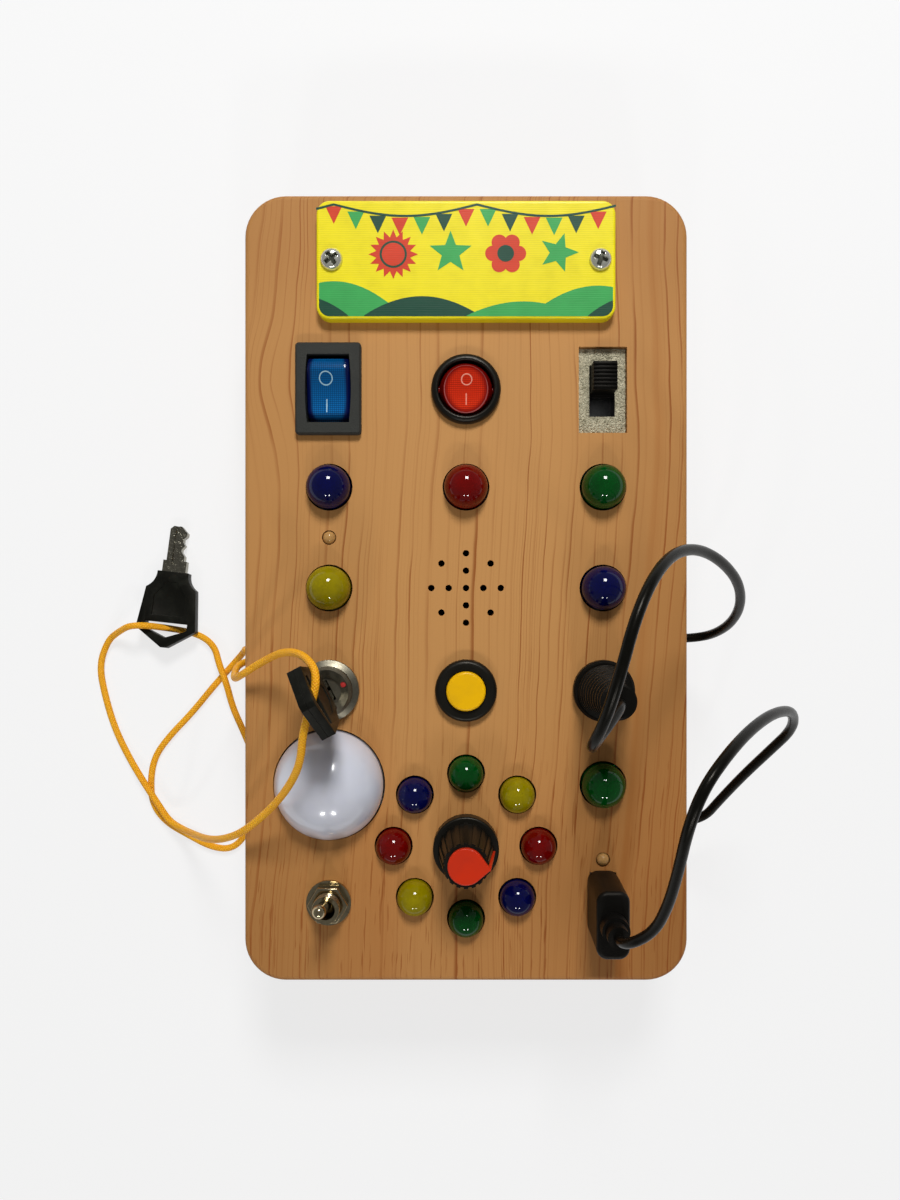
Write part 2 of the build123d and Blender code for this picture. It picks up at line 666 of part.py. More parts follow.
with BuildPart() as back_cover:
    with BuildSketch(Plane.XY.offset(COVER_BOTTOM)):
        RectangleRounded(BOARD_WIDTH, BOARD_LENGTH, BOARD_CORNER)
    extrude(amount=COVER_THICKNESS)
    chamfer(back_cover.edges().group_by(Axis.Z)[0], COVER_EDGE)
    with Locations(*[Location((x, y, COVER_BOTTOM), (180, 0, 0)) for x, y in COVER_SCREWS]):
        CounterSinkHole(
            radius=WOOD_SCREW_RADIUS + SLIP,
            counter_sink_radius=WOOD_SCREW_HEAD + SLIP,
            depth=COVER_THICKNESS,
            counter_sink_angle=90,
        )
save(back_cover, "back_cover")

with BuildPart() as back_cover_screws:
    for spot in COVER_SCREWS:
        turned(
            [
                (0, COVER_BOTTOM),
                (WOOD_SCREW_HEAD, COVER_BOTTOM),
                (WOOD_SCREW_RADIUS, COVER_BOTTOM + WOOD_SCREW_HEAD - WOOD_SCREW_RADIUS),
                (WOOD_SCREW_RADIUS, COVER_BOTTOM + WOOD_SCREW_LENGTH - SCREW_POINT),
                (0, COVER_BOTTOM + WOOD_SCREW_LENGTH),
            ],
            spot,
        )
        cross_recess(spot, COVER_BOTTOM, 1)
save(back_cover_screws, "back_cover_screws")

with BuildPart() as rubber_feet:
    feet = [
        (side * (BOARD_WIDTH / 2 - FOOT_INSET), end * (BOARD_LENGTH / 2 - FOOT_INSET))
        for side in (-1, 1)
        for end in (-1, 1)
    ]
    post(FOOT_RADIUS, 0, FOOT_HEIGHT, feet)
    chamfer(rubber_feet.edges().group_by(Axis.Z)[0], FOOT_HEIGHT / 4)
save(rubber_feet, "rubber_feet")

# ---------------------------------------------------------------- battery bay and sign
with BuildPart() as battery_lid:
    block(
        SIGN_WIDTH, SIGN_LENGTH, FACE, FACE + SIGN_THICKNESS, [(0, SIGN_ROW)], SIGN_CORNER
    )
    fillet(battery_lid.edges().group_by(Axis.Z)[-1], SIGN_EDGE)
    post(LID_SCREW_RADIUS + FIT, FACE, FACE + SIGN_THICKNESS, LID_SCREWS, Mode.SUBTRACT)
save(battery_lid, "battery_lid")

LID_TOP = FACE + SIGN_THICKNESS
with BuildPart() as battery_lid_screws:
    for spot in LID_SCREWS:
        turned(
            [
                (0, LID_TOP + SIGN_THICKNESS - LID_SCREW_LENGTH),
                (LID_SCREW_RADIUS, LID_TOP + SIGN_THICKNESS + SCREW_POINT - LID_SCREW_LENGTH),
                (LID_SCREW_RADIUS, LID_TOP),
                (LID_SCREW_HEAD, LID_TOP),
                (LID_SCREW_HEAD, LID_TOP + LID_SCREW_HEAD_HEIGHT / 2),
                (LID_SCREW_HEAD * 0.7, LID_TOP + LID_SCREW_HEAD_HEIGHT),
                (0, LID_TOP + LID_SCREW_HEAD_HEIGHT),
            ],
            spot,
        )
        cross_recess(spot, LID_TOP + LID_SCREW_HEAD_HEIGHT, -1)
save(battery_lid_screws, "battery_lid_screws")

HOLDER_INSIDE = HOLDER_WIDTH / 2 - HOLDER_END
TROUGH_LENGTH = HOLDER_LENGTH - 2 * HOLDER_WALL
CELL_ROWS = [SIGN_ROW + side * CELL_SPACING / 2 for side in (-1, 1)]
CELL_HEIGHT = BAY_FLOOR + HOLDER_FLOOR + CELL_RADIUS
with BuildPart() as battery_holder:
    block(
        HOLDER_WIDTH,
        HOLDER_LENGTH,
        BAY_FLOOR,
        BAY_FLOOR + HOLDER_HEIGHT,
        [(0, SIGN_ROW)],
        BAY_CORNER - BAY_GAP,
    )
    block(
        2 * HOLDER_INSIDE,
        TROUGH_LENGTH,
        BAY_FLOOR + HOLDER_FLOOR,
        BAY_FLOOR + HOLDER_HEIGHT,
        [(0, SIGN_ROW)],
        mode=Mode.SUBTRACT,
    )
save(battery_holder, "battery_holder")

CELL_BODY_LENGTH = CELL_LENGTH - CELL_NUB_LENGTH
with BuildPart() as battery_cells:
    for row, way in zip(CELL_ROWS, (1, -1)):
        nub_end = way * PLATE_FACE
        shoulder = nub_end - way * CELL_NUB_LENGTH
        foot = shoulder - way * CELL_BODY_LENGTH
        side_bore(CELL_RADIUS, row, CELL_HEIGHT, foot, shoulder, Mode.ADD)
        side_bore(CELL_NUB_RADIUS, row, CELL_HEIGHT, shoulder, nub_end, Mode.ADD)
save(battery_cells, "battery_cells")

with BuildPart() as battery_contacts:
    for side in (-1, 1):
        with BuildSketch(Plane.YZ.offset(side * PLATE_FACE)) as plates:
            with Locations(*[(row, CELL_HEIGHT) for row in CELL_ROWS]):
                Rectangle(CONTACT_SIZE, CONTACT_SIZE)
        extrude(plates.sketch, amount=side * CONTACT_THICKNESS)
    for row, way in zip(CELL_ROWS, (1, -1)):
        with BuildLine() as coil:
            Helix(
                pitch=(CONTACT_SPRING_LENGTH - 2 * CONTACT_WIRE) / CONTACT_TURNS,
                height=CONTACT_SPRING_LENGTH - 2 * CONTACT_WIRE,
                radius=CONTACT_SPRING_RADIUS,
                center=(-way * (PLATE_FACE - CONTACT_WIRE + SLIP), row, CELL_HEIGHT),
                direction=(way, 0, 0),
            )
        with BuildSketch(coil.line ^ 0) as wire:
            Circle(CONTACT_WIRE)
        sweep(wire.sketch, path=coil.line, is_frenet=True)
save(battery_contacts, "battery_contacts")

# ---------------------------------------------------------------- blue rocker switch
BEZEL_TOP = FACE + BEZEL_HEIGHT
ROCKER_BOTTOM = FACE - ROCKER_BODY_DEPTH
PADDLE_PIVOT = (BLUE_ROCKER[0], BLUE_ROCKER[1], FACE - PADDLE_PIVOT_DEPTH)
with BuildPart() as rocker_housing:
    block(BEZEL_WIDTH, BEZEL_LENGTH, FACE, BEZEL_TOP, [BLUE_ROCKER], BEZEL_CORNER)
    chamfer(rocker_housing.edges().group_by(Axis.Z)[-1], BEZEL_EDGE)
    block(ROCKER_BODY_WIDTH, ROCKER_BODY_LENGTH, ROCKER_BOTTOM, FACE, [BLUE_ROCKER])
    with BuildSketch(Plane(origin=(*BLUE_ROCKER, ROCKER_BOTTOM + ROCKER_FLOOR))):
        with BuildLine():
            end_x = WELL_END_WIDTH / 2
            end_y = WELL_LENGTH / 2
            Line((-end_x, end_y), (end_x, end_y))
            ThreePointArc((end_x, end_y), (WELL_MIDDLE_WIDTH / 2, 0), (end_x, -end_y))
            Line((end_x, -end_y), (-end_x, -end_y))
            ThreePointArc((-end_x, -end_y), (-WELL_MIDDLE_WIDTH / 2, 0), (-end_x, end_y))
        make_face()
    extrude(amount=BEZEL_TOP - ROCKER_BOTTOM - ROCKER_FLOOR, mode=Mode.SUBTRACT)
    side_bore(
        ROCKER_PIN_RADIUS + SLIP,
        PADDLE_PIVOT[1],
        PADDLE_PIVOT[2],
        BLUE_ROCKER[0] - ROCKER_PIN_REACH - SLIP,
        BLUE_ROCKER[0] + ROCKER_PIN_REACH + SLIP,
    )
save(rocker_housing, "rocker_housing")

tilt = math.radians(ROCKER_TILT)
PADDLE_PLANE = Plane(
    origin=PADDLE_PIVOT, x_dir=(0, math.cos(tilt), math.sin(tilt)), z_dir=(1, 0, 0)
)
with BuildPart() as blue_rocker:
    with BuildSketch(PADDLE_PLANE):
        with BuildLine():
            north = [PADDLE_RIDGE, PADDLE_SHOULDER, PADDLE_SKIRT, PADDLE_KEEL]
            south = [(-across, height) for across, height in reversed(north)]
            Polyline(*north, *south)
            ThreePointArc(south[-1], (0, PADDLE_VALLEY), north[0])
        make_face()
    extrude(amount=PADDLE_WIDTH / 2, both=True)
    long_edges = blue_rocker.edges().filter_by(GeomType.CIRCLE)
    chamfer(long_edges, PADDLE_EDGE)
    side_bore(
        ROCKER_PIN_RADIUS,
        PADDLE_PIVOT[1],
        PADDLE_PIVOT[2],
        BLUE_ROCKER[0] - ROCKER_PIN_REACH,
        BLUE_ROCKER[0] + ROCKER_PIN_REACH,
        Mode.ADD,
    )
save(blue_rocker, "blue_rocker")

# ---------------------------------------------------------------- red round rocker switch
RING_TOP = FACE + RING_HEIGHT
RING_BOTTOM = FACE - RING_BODY_DEPTH
DISC_PIVOT = (RED_ROCKER[0], RED_ROCKER[1], FACE - DISC_PIVOT_DEPTH)
with BuildPart() as round_rocker_housing:
    post(RING_RADIUS, FACE, RING_TOP, [RED_ROCKER])
    post(RING_BODY_RADIUS, RING_BOTTOM, FACE, [RED_ROCKER])
    post(RING_WELL_RADIUS, RING_BOTTOM + RING_FLOOR, RING_TOP, [RED_ROCKER], Mode.SUBTRACT)
    top_rims = round_rocker_housing.edges().group_by(Axis.Z)[-1].sort_by(SortBy.RADIUS)
    fillet(top_rims[-1], RING_OUTER_ROUND)
    inner_rim = round_rocker_housing.edges().group_by(Axis.Z)[-1].sort_by(SortBy.RADIUS)[0]
    fillet(inner_rim, RING_INNER_ROUND)
    side_bore(
        ROCKER_PIN_RADIUS + SLIP,
        DISC_PIVOT[1],
        DISC_PIVOT[2],
        RED_ROCKER[0] - DISC_PIN_REACH - SLIP,
        RED_ROCKER[0] + DISC_PIN_REACH + SLIP,
    )
save(round_rocker_housing, "round_rocker_housing")

DISC_UP = (0, -math.sin(tilt), math.cos(tilt))
DISC_PLANE = Plane(
    origin=DISC_PIVOT, x_dir=(1, 0, 0), z_dir=(0, -math.cos(tilt), -math.sin(tilt))
)
with BuildPart() as red_rocker:
    with BuildSketch(DISC_PLANE):
        with BuildLine():
            Polyline(
                (0, DISC_CENTRE),
                DISC_RIM,
                DISC_SHOULDER,
                DISC_SKIRT,
                DISC_KEEL,
                (0, DISC_KEEL[1]),
                close=True,
            )
        make_face()
    revolve(axis=Axis(DISC_PIVOT, DISC_UP))
    side_bore(
        ROCKER_PIN_RADIUS,
        DISC_PIVOT[1],
        DISC_PIVOT[2],
        RED_ROCKER[0] - DISC_PIN_REACH,
        RED_ROCKER[0] + DISC_PIN_REACH,
        Mode.ADD,
    )
save(red_rocker, "red_rocker")

# ---------------------------------------------------------------- slide switch
SLIDE_KNOB_ROW = SLIDE[1] + SLIDE_TRAVEL / 2
SLIDE_KNOB_TOP = SLIDE_PLATE_TOP + SLIDE_KNOB_HEIGHT
SLIDE_SHOE_TOP = SLIDE_PLATE_BOTTOM - GAP
with BuildPart() as slide_switch_plate:
    block(SLIDE_PLATE_WIDTH, SLIDE_PLATE_LENGTH, SLIDE_PLATE_BOTTOM, SLIDE_PLATE_TOP, [SLIDE])
    block(
        SLIDE_SLOT_WIDTH,
        SLIDE_SLOT_LENGTH,
        SLIDE_PLATE_BOTTOM,
        SLIDE_PLATE_TOP,
        [SLIDE],
        mode=Mode.SUBTRACT,
    )
save(slide_switch_plate, "slide_switch_plate")

SLIDE_INSIDE_WIDTH = SLIDE_BODY_WIDTH - 2 * SLIDE_BODY_WALL
SLIDE_INSIDE_LENGTH = SLIDE_BODY_LENGTH - 2 * SLIDE_BODY_WALL
with BuildPart() as slide_switch_body:
    block(SLIDE_BODY_WIDTH, SLIDE_BODY_LENGTH, SLIDE_BODY_BOTTOM, SLIDE_PLATE_BOTTOM, [SLIDE])
    block(
        SLIDE_INSIDE_WIDTH,
        SLIDE_INSIDE_LENGTH,
        SLIDE_BODY_BOTTOM + SLIDE_BODY_WALL,
        SLIDE_PLATE_BOTTOM,
        [SLIDE],
        mode=Mode.SUBTRACT,
    )
save(slide_switch_body, "slide_switch_body")

with BuildPart() as slide_knob:
    knob_spot = (SLIDE[0], SLIDE_KNOB_ROW)
    block(
        SLIDE_INSIDE_WIDTH - 2 * FIT,
        SLIDE_SHOE_LENGTH,
        SLIDE_SHOE_TOP - SLIDE_SHOE_HEIGHT,
        SLIDE_SHOE_TOP,
        [knob_spot],
    )
    ridge_foot = SLIDE_KNOB_TOP - SLIDE_RIDGE_HEIGHT
    block(SLIDE_KNOB_WIDTH, SLIDE_KNOB_LENGTH, SLIDE_SHOE_TOP, ridge_foot, [knob_spot])
    ridge_rows = [
        SLIDE_KNOB_ROW + (ridge - (SLIDE_RIDGES - 1) / 2) * SLIDE_RIDGE_PITCH
        for ridge in range(SLIDE_RIDGES)
    ]
    block(
        SLIDE_KNOB_WIDTH,
        SLIDE_RIDGE_WIDTH,
        ridge_foot,
        SLIDE_KNOB_TOP,
        [(SLIDE[0], row) for row in ridge_rows],
    )
save(slide_knob, "slide_knob")

# ---------------------------------------------------------------- push button
BUTTON_RING_TOP = FACE + BUTTON_RING_HEIGHT
BUTTON_BOTTOM = FACE - BUTTON_DEPTH
BUTTON_SHOULDER = FACE - BUTTON_SHOULDER_DEPTH
BUTTON_OPENING = BUTTON_CAP_RADIUS + BUTTON_CAP_PLAY
BUTTON_BORE = BUTTON_FLANGE_RADIUS + BUTTON_CAP_PLAY
with BuildPart() as button_housing:
    post(BUTTON_RING_RADIUS, FACE, BUTTON_RING_TOP, [BUTTON])
    fillet(button_housing.edges().group_by(Axis.Z)[-1], BUTTON_RING_ROUND)
    post(PANEL_THREAD_RADIUS, BUTTON_BOTTOM, FACE, [BUTTON])
    post(BUTTON_OPENING, BUTTON_SHOULDER, BUTTON_RING_TOP, [BUTTON], Mode.SUBTRACT)
    post(BUTTON_BORE, BUTTON_BOTTOM + BUTTON_FLOOR, BUTTON_SHOULDER, [BUTTON], Mode.SUBTRACT)
save(button_housing, "button_housing")

FLANGE_TOP = BUTTON_SHOULDER - BUTTON_CAP_PLAY
FLANGE_BOTTOM = FLANGE_TOP - BUTTON_FLANGE_HEIGHT
with BuildPart() as button_cap:
    cap_top = BUTTON_RING_TOP + BUTTON_CAP_PROUD
    post(BUTTON_CAP_RADIUS, FLANGE_BOTTOM, cap_top, [BUTTON])
    fillet(button_cap.edges().group_by(Axis.Z)[-1], BUTTON_CAP_PROUD / 2)
    post(BUTTON_FLANGE_RADIUS, FLANGE_BOTTOM, FLANGE_TOP, [BUTTON])
save(button_cap, "button_cap")

with BuildPart() as button_spring:
    spring_floor = BUTTON_BOTTOM + BUTTON_FLOOR + BUTTON_SPRING_WIRE
    spring_height = FLANGE_BOTTOM - spring_floor - BUTTON_SPRING_WIRE
    with BuildLine() as coil:
        Helix(
            pitch=spring_height / BUTTON_SPRING_TURNS,
            height=spring_height,
            radius=BUTTON_SPRING_RADIUS,
            center=(BUTTON[0], BUTTON[1], spring_floor),
        )
    with BuildSketch(coil.line ^ 0):
        Circle(BUTTON_SPRING_WIRE)
    sweep(path=coil.line, is_frenet=True)
save(button_spring, "button_spring")

# ---------------------------------------------------------------- key switch
LOCK_TOP = FACE + LOCK_FACE_HEIGHT
LOCK_BOTTOM = FACE - LOCK_DEPTH
LOCK_STEP = FACE + LOCK_STEP_HEIGHT
ROTOR_FOOT = LOCK_BOTTOM + LOCK_FLOOR
FLANGE_SLOPE_TOP = FACE + LOCK_FLANGE_HEIGHT
KEY_TIP_HEIGHT = LOCK_TOP - KEY_INSERTED
with BuildPart() as lock_barrel:
    turned(
        [
            (0, LOCK_BOTTOM),
            (PANEL_THREAD_RADIUS, LOCK_BOTTOM),
            (PANEL_THREAD_RADIUS, FACE),
            (LOCK_FLANGE_RADIUS, FACE),
            (LOCK_FLANGE_RADIUS, FLANGE_SLOPE_TOP),
            (LOCK_FACE_RADIUS, FLANGE_SLOPE_TOP + LOCK_DISH),
            (LOCK_FACE_RADIUS, LOCK_TOP - LOCK_DISH),
            (LOCK_FACE_RADIUS - LOCK_DISH, LOCK_TOP),
            (LOCK_MOUTH_BORE, LOCK_TOP - LOCK_DISH),
            (LOCK_MOUTH_BORE, LOCK_STEP),
            (LOCK_BODY_BORE, LOCK_STEP),
            (LOCK_BODY_BORE, ROTOR_FOOT),
            (0, ROTOR_FOOT),
        ],
        LOCK,
    )
    dot_angle = math.radians(LOCK_DOT_ANGLE)
    dot = (
        LOCK[0] + LOCK_DOT_PLACE * math.cos(dot_angle),
        LOCK[1] + LOCK_DOT_PLACE * math.sin(dot_angle),
    )
    dot_floor = LOCK_TOP - LOCK_DISH / 2 - LOCK_DOT_DEPTH
    post(LOCK_DOT_RADIUS, dot_floor, LOCK_TOP, [dot], Mode.SUBTRACT)
save(lock_barrel, "lock_barrel")

bow_bearing = math.radians(KEY_ANGLE)
KEY_WIDTH_WAY = (math.cos(bow_bearing), math.sin(bow_bearing), 0)
KEY_THICKNESS_WAY = (math.sin(bow_bearing), -math.cos(bow_bearing), 0)
ROTOR_TOP = LOCK_TOP - LOCK_DISH - LOCK_ROTOR_SUNK
with BuildPart() as lock_rotor:
    turned(
        [
            (0, ROTOR_FOOT + SLIP),
            (LOCK_BODY_BORE - SLIP, ROTOR_FOOT + SLIP),
            (LOCK_BODY_BORE - SLIP, LOCK_STEP - SLIP),
            (LOCK_MOUTH_BORE - SLIP, LOCK_STEP - SLIP),
            (LOCK_MOUTH_BORE - SLIP, ROTOR_TOP),
            (0, ROTOR_TOP),
        ],
        LOCK,
    )
    keyway_floor = KEY_TIP_HEIGHT - GAP
    with BuildSketch(Plane(origin=(*LOCK, keyway_floor), x_dir=KEY_WIDTH_WAY)):
        Rectangle(BLADE_WIDTH + 2 * KEYWAY_PLAY, BLADE_THICKNESS + 2 * KEYWAY_PLAY)
    extrude(amount=ROTOR_TOP - keyway_floor, mode=Mode.SUBTRACT)
save(lock_rotor, "lock_rotor")


# ---------------------------------------------------------------- keys
NECK = BLADE_LENGTH + COLLAR_LENGTH
SHOULDER = NECK + BOW_SHOULDER_LENGTH
POINT = NECK + BOW_LENGTH
CORNER = POINT - BOW_POINT
HOLE_POINT = POINT - BOW_HOLE_FROM_POINT
HOLE_TOP = HOLE_POINT - BOW_HOLE_MIDDLE
CORD_HOLE = HOLE_POINT - BOW_HOLE_MIDDLE / 2


def key_blade_solid(plane):
    """Steel blade with its notched edge, collar and the tang inside the bow; the tip is at y = 0."""
    half = BLADE_WIDTH / 2
    collar = COLLAR_WIDTH / 2
    tang = TANG_WIDTH / 2
    notch = BLADE_LENGTH / 11
    with BuildSketch(plane) as outline:
        with BuildLine():
            Polyline(
                (-half, notch),
                (-half + notch, 0),
                (half / 4, 0),
                (half, 2 * notch),
                (half, 3 * notch),
                (half - notch, 4 * notch),
                (half - notch, 5 * notch),
                (half - notch / 4, 6 * notch),
                (half - 1.2 * notch, 7.3 * notch),
                (half - 1.2 * notch, 8 * notch),
                (half, 9.4 * notch),
                (half, BLADE_LENGTH),
                (collar, BLADE_LENGTH),
                (collar, NECK),
                (tang, NECK),
                (tang, NECK + TANG_LENGTH),
                (-tang, NECK + TANG_LENGTH),
                (-tang, NECK),
                (-collar, NECK),
                (-collar, BLADE_LENGTH),
                (-half, BLADE_LENGTH),
                close=True,
            )
        make_face()
    extrude(outline.sketch, amount=BLADE_THICKNESS / 2, both=True)
    for side in (-1, 1):
        surface = plane.offset(side * BLADE_THICKNESS / 2)
        with BuildSketch(surface) as groove:
            with Locations((-half / 5, BLADE_LENGTH / 2)):
                Rectangle(BLADE_GROOVE_WIDTH, BLADE_LENGTH + 2 * notch)
        extrude(groove.sketch, amount=-side * BLADE_GROOVE_DEPTH, mode=Mode.SUBTRACT)


def key_bow_solid(plane, blade):
    """Moulded bow with hollow shoulders, a V-shaped end, a cord hole and a sunk panel on each side."""
    neck = BOW_NECK_WIDTH / 2
    shoulder = BOW_SHOULDER_WIDTH / 2
    corner = BOW_WIDTH / 2
    tip = BOW_EDGE * 2
    with BuildSketch(plane) as outline:
        with BuildLine():
            Line((-neck, NECK), (neck, NECK))
            ThreePointArc(
                (neck, NECK),
                (neck + 0.6, NECK + BOW_SHOULDER_LENGTH * 0.6),
                (shoulder, SHOULDER),
            )
            Polyline(
                (shoulder, SHOULDER),
                (corner, CORNER),
                (tip, POINT),
                (-tip, POINT),
                (-corner, CORNER),
                (-shoulder, SHOULDER),
            )
            ThreePointArc(
                (-shoulder, SHOULDER),
                (-neck - 0.6, NECK + BOW_SHOULDER_LENGTH * 0.6),
                (-neck, NECK),
            )
        make_face()
    extrude(outline.sketch, amount=BOW_THICKNESS / 2, both=True)
    hole = BOW_HOLE_WIDTH / 2
    with BuildSketch(plane) as cord_hole:
        with BuildLine():
            Polyline(
                (-hole, HOLE_TOP),
                (hole, HOLE_TOP),
                (hole, HOLE_TOP + BOW_HOLE_END),
                (0, HOLE_POINT),
                (-hole, HOLE_TOP + BOW_HOLE_END),
                close=True,
            )
        make_face()
    extrude(cord_hole.sketch, amount=BOW_THICKNESS, both=True, mode=Mode.SUBTRACT)
    for side in (-1, 1):
        with BuildSketch(plane.offset(side * BOW_THICKNESS / 2)) as panel:
            with BuildLine():
                Polyline(
                    (-neck / 3, NECK + BOW_SHOULDER_LENGTH * 0.6),
                    (neck / 3, NECK + BOW_SHOULDER_LENGTH * 0.6),
                    (neck, SHOULDER + BOW_SHOULDER_LENGTH / 2),
                    (neck, HOLE_TOP - BOW_HOLE_END),
                    (-neck, HOLE_TOP - BOW_HOLE_END),
                    (-neck, SHOULDER + BOW_SHOULDER_LENGTH / 2),
                    close=True,
                )
            make_face()
        extrude(panel.sketch, amount=-side * BOW_PANEL_DEPTH, mode=Mode.SUBTRACT)
    add(blade.part, mode=Mode.SUBTRACT)


KEY_PLANE = Plane(
    origin=(*LOCK, KEY_TIP_HEIGHT), x_dir=KEY_WIDTH_WAY, z_dir=KEY_THICKNESS_WAY
)
turn = math.radians(SPARE_TURN)
lean = math.radians(SPARE_TILT)
SPARE_PLANE = Plane(
    origin=(*SPARE_TIP, BLADE_THICKNESS / 2 * math.cos(lean)),
    x_dir=(math.cos(turn), -math.sin(turn), 0),
    z_dir=(
        -math.sin(turn) * math.sin(lean),
        -math.cos(turn) * math.sin(lean),
        -math.cos(lean),
    ),
)

with BuildPart() as key_blade:
    key_blade_solid(KEY_PLANE)
save(key_blade, "key_blade")

with BuildPart() as key_bow:
    key_bow_solid(KEY_PLANE, key_blade)
save(key_bow, "key_bow")

with BuildPart() as spare_key_blade:
    key_blade_solid(SPARE_PLANE)
save(spare_key_blade, "spare_key_blade")

with BuildPart() as spare_key_bow:
    key_bow_solid(SPARE_PLANE, spare_key_blade)
save(spare_key_bow, "spare_key_bow")

# ---------------------------------------------------------------- toggle switch
TOGGLE_BOTTOM = PANEL_UNDER - TOGGLE_BODY_DEPTH
BUSHING_TOP = FACE + TOGGLE_BUSHING_HEIGHT
TOGGLE_PIVOT = (TOGGLE[0], TOGGLE[1], FACE + TOGGLE_PIVOT_HEIGHT)
with BuildPart() as toggle_body:
    block(TOGGLE_BODY_WIDTH, TOGGLE_BODY_LENGTH, TOGGLE_BOTTOM, PANEL_UNDER, [TOGGLE])
    post(TOGGLE_THREAD_RADIUS, PANEL_UNDER, BUSHING_TOP, [TOGGLE])
    post(TOGGLE_BORE, PANEL_UNDER, BUSHING_TOP, [TOGGLE], Mode.SUBTRACT)
save(toggle_body, "toggle_body")

WASHER_TOP = FACE + TOGGLE_WASHER_THICKNESS
with BuildPart() as toggle_washer:
    post(TOGGLE_WASHER_RADIUS, FACE, WASHER_TOP, [TOGGLE])
    post(TOGGLE_THREAD_RADIUS + FIT, FACE, WASHER_TOP, [TOGGLE], Mode.SUBTRACT)
save(toggle_washer, "toggle_washer")

with BuildPart() as toggle_nut:
    hex_nut(
        TOGGLE_NUT_FLATS,
        TOGGLE_THREAD_RADIUS + SLIP,
        WASHER_TOP,
        WASHER_TOP + TOGGLE_NUT_HEIGHT,
        TOGGLE,
    )
save(toggle_nut, "toggle_nut")

toggle_lean = math.radians(TOGGLE_TILT)
LEVER_UP = (0, math.sin(toggle_lean), math.cos(toggle_lean))
LEVER_PLANE = Plane(
    origin=TOGGLE_PIVOT,
    x_dir=(1, 0, 0),
    z_dir=(0, -math.cos(toggle_lean), math.sin(toggle_lean)),
)
with BuildPart() as toggle_lever:
    with BuildSketch(LEVER_PLANE):
        with BuildLine():
            Polyline(
                (0, -TOGGLE_TAIL_LENGTH),
                (TOGGLE_TAIL_RADIUS, -TOGGLE_TAIL_LENGTH),
                (TOGGLE_TAIL_RADIUS, 0),
                (TOGGLE_LEVER_ROOT_RADIUS, 0),
                (TOGGLE_LEVER_TIP_RADIUS, TOGGLE_LEVER_TOP),
            )
            ThreePointArc(
                (TOGGLE_LEVER_TIP_RADIUS, TOGGLE_LEVER_TOP),
                (
                    TOGGLE_LEVER_TIP_RADIUS * math.sqrt(0.5),
                    TOGGLE_LEVER_TOP + TOGGLE_LEVER_TIP_RADIUS * math.sqrt(0.5),
                ),
                (0, TOGGLE_LEVER_TOP + TOGGLE_LEVER_TIP_RADIUS),
            )
            Line((0, TOGGLE_LEVER_TOP + TOGGLE_LEVER_TIP_RADIUS), (0, -TOGGLE_TAIL_LENGTH))
        make_face()
    revolve(axis=Axis(TOGGLE_PIVOT, LEVER_UP))
    with Locations(TOGGLE_PIVOT):
        Sphere(TOGGLE_BALL_RADIUS)
save(toggle_lever, "toggle_lever")

# ---------------------------------------------------------------- potentiometer and knob
POT_BOTTOM = PANEL_UNDER - POT_DEPTH
SHAFT_FOOT = PANEL_UNDER - POT_SHAFT_SUNK
SHAFT_TOP = FACE + POT_SHAFT_HEIGHT
with BuildPart() as pot_body:
    post(POT_RADIUS, POT_BOTTOM, PANEL_UNDER, [KNOB])
    post(POT_THREAD_RADIUS, PANEL_UNDER, FACE + POT_BUSHING_HEIGHT, [KNOB])
    post(
        POT_SHAFT_RADIUS + SLIP,
        SHAFT_FOOT - SLIP,
        FACE + POT_BUSHING_HEIGHT,
        [KNOB],
        Mode.SUBTRACT,
    )
save(pot_body, "pot_body")

with BuildPart() as pot_shaft:
    post(POT_SHAFT_RADIUS, SHAFT_FOOT, SHAFT_TOP, [KNOB])
save(pot_shaft, "pot_shaft")

SKIRT_BOTTOM = FACE + KNOB_CLEAR
SKIRT_TOP = SKIRT_BOTTOM + KNOB_SKIRT_HEIGHT
KNOB_TOP = SKIRT_BOTTOM + KNOB_HEIGHT
pointer = math.radians(POINTER_ANGLE)
POINTER_WAY = (math.cos(pointer), math.sin(pointer), 0)
FIN_PLANE = Plane(
    origin=(*KNOB, 0), x_dir=POINTER_WAY, z_dir=(math.sin(pointer), -math.cos(pointer), 0)
)
with BuildPart() as knob_cap:
    with BuildSketch(Plane(origin=(*KNOB, KNOB_TOP), x_dir=POINTER_WAY)):
        Circle(POINTER_DISC_RADIUS)
        touch = math.acos(POINTER_DISC_RADIUS / POINTER_TIP)
        touch_x = POINTER_DISC_RADIUS * math.cos(touch)
        touch_y = POINTER_DISC_RADIUS * math.sin(touch)
        with BuildLine():
            Polyline((touch_x, touch_y), (POINTER_TIP, 0), (touch_x, -touch_y), close=True)
        make_face()
    extrude(amount=POINTER_THICKNESS)
    fillet(knob_cap.edges().group_by(Axis.Z)[-1].filter_by(GeomType.CIRCLE), POINTER_THICKNESS / 4)
    with BuildSketch(FIN_PLANE):
        with BuildLine():
            Polyline(
                (POINTER_DISC_RADIUS - KNOB_RIB_HEIGHT, KNOB_TOP),
                (POINTER_TIP, KNOB_TOP),
                (KNOB_FOOT_RADIUS + 2 * KNOB_RIB_HEIGHT, SKIRT_TOP),
                (KNOB_FOOT_RADIUS - 2 * KNOB_RIB_HEIGHT, SKIRT_TOP),
                close=True,
            )
        make_face()
    extrude(amount=POINTER_FIN_WIDTH / 2, both=True)
save(knob_cap, "knob_cap")

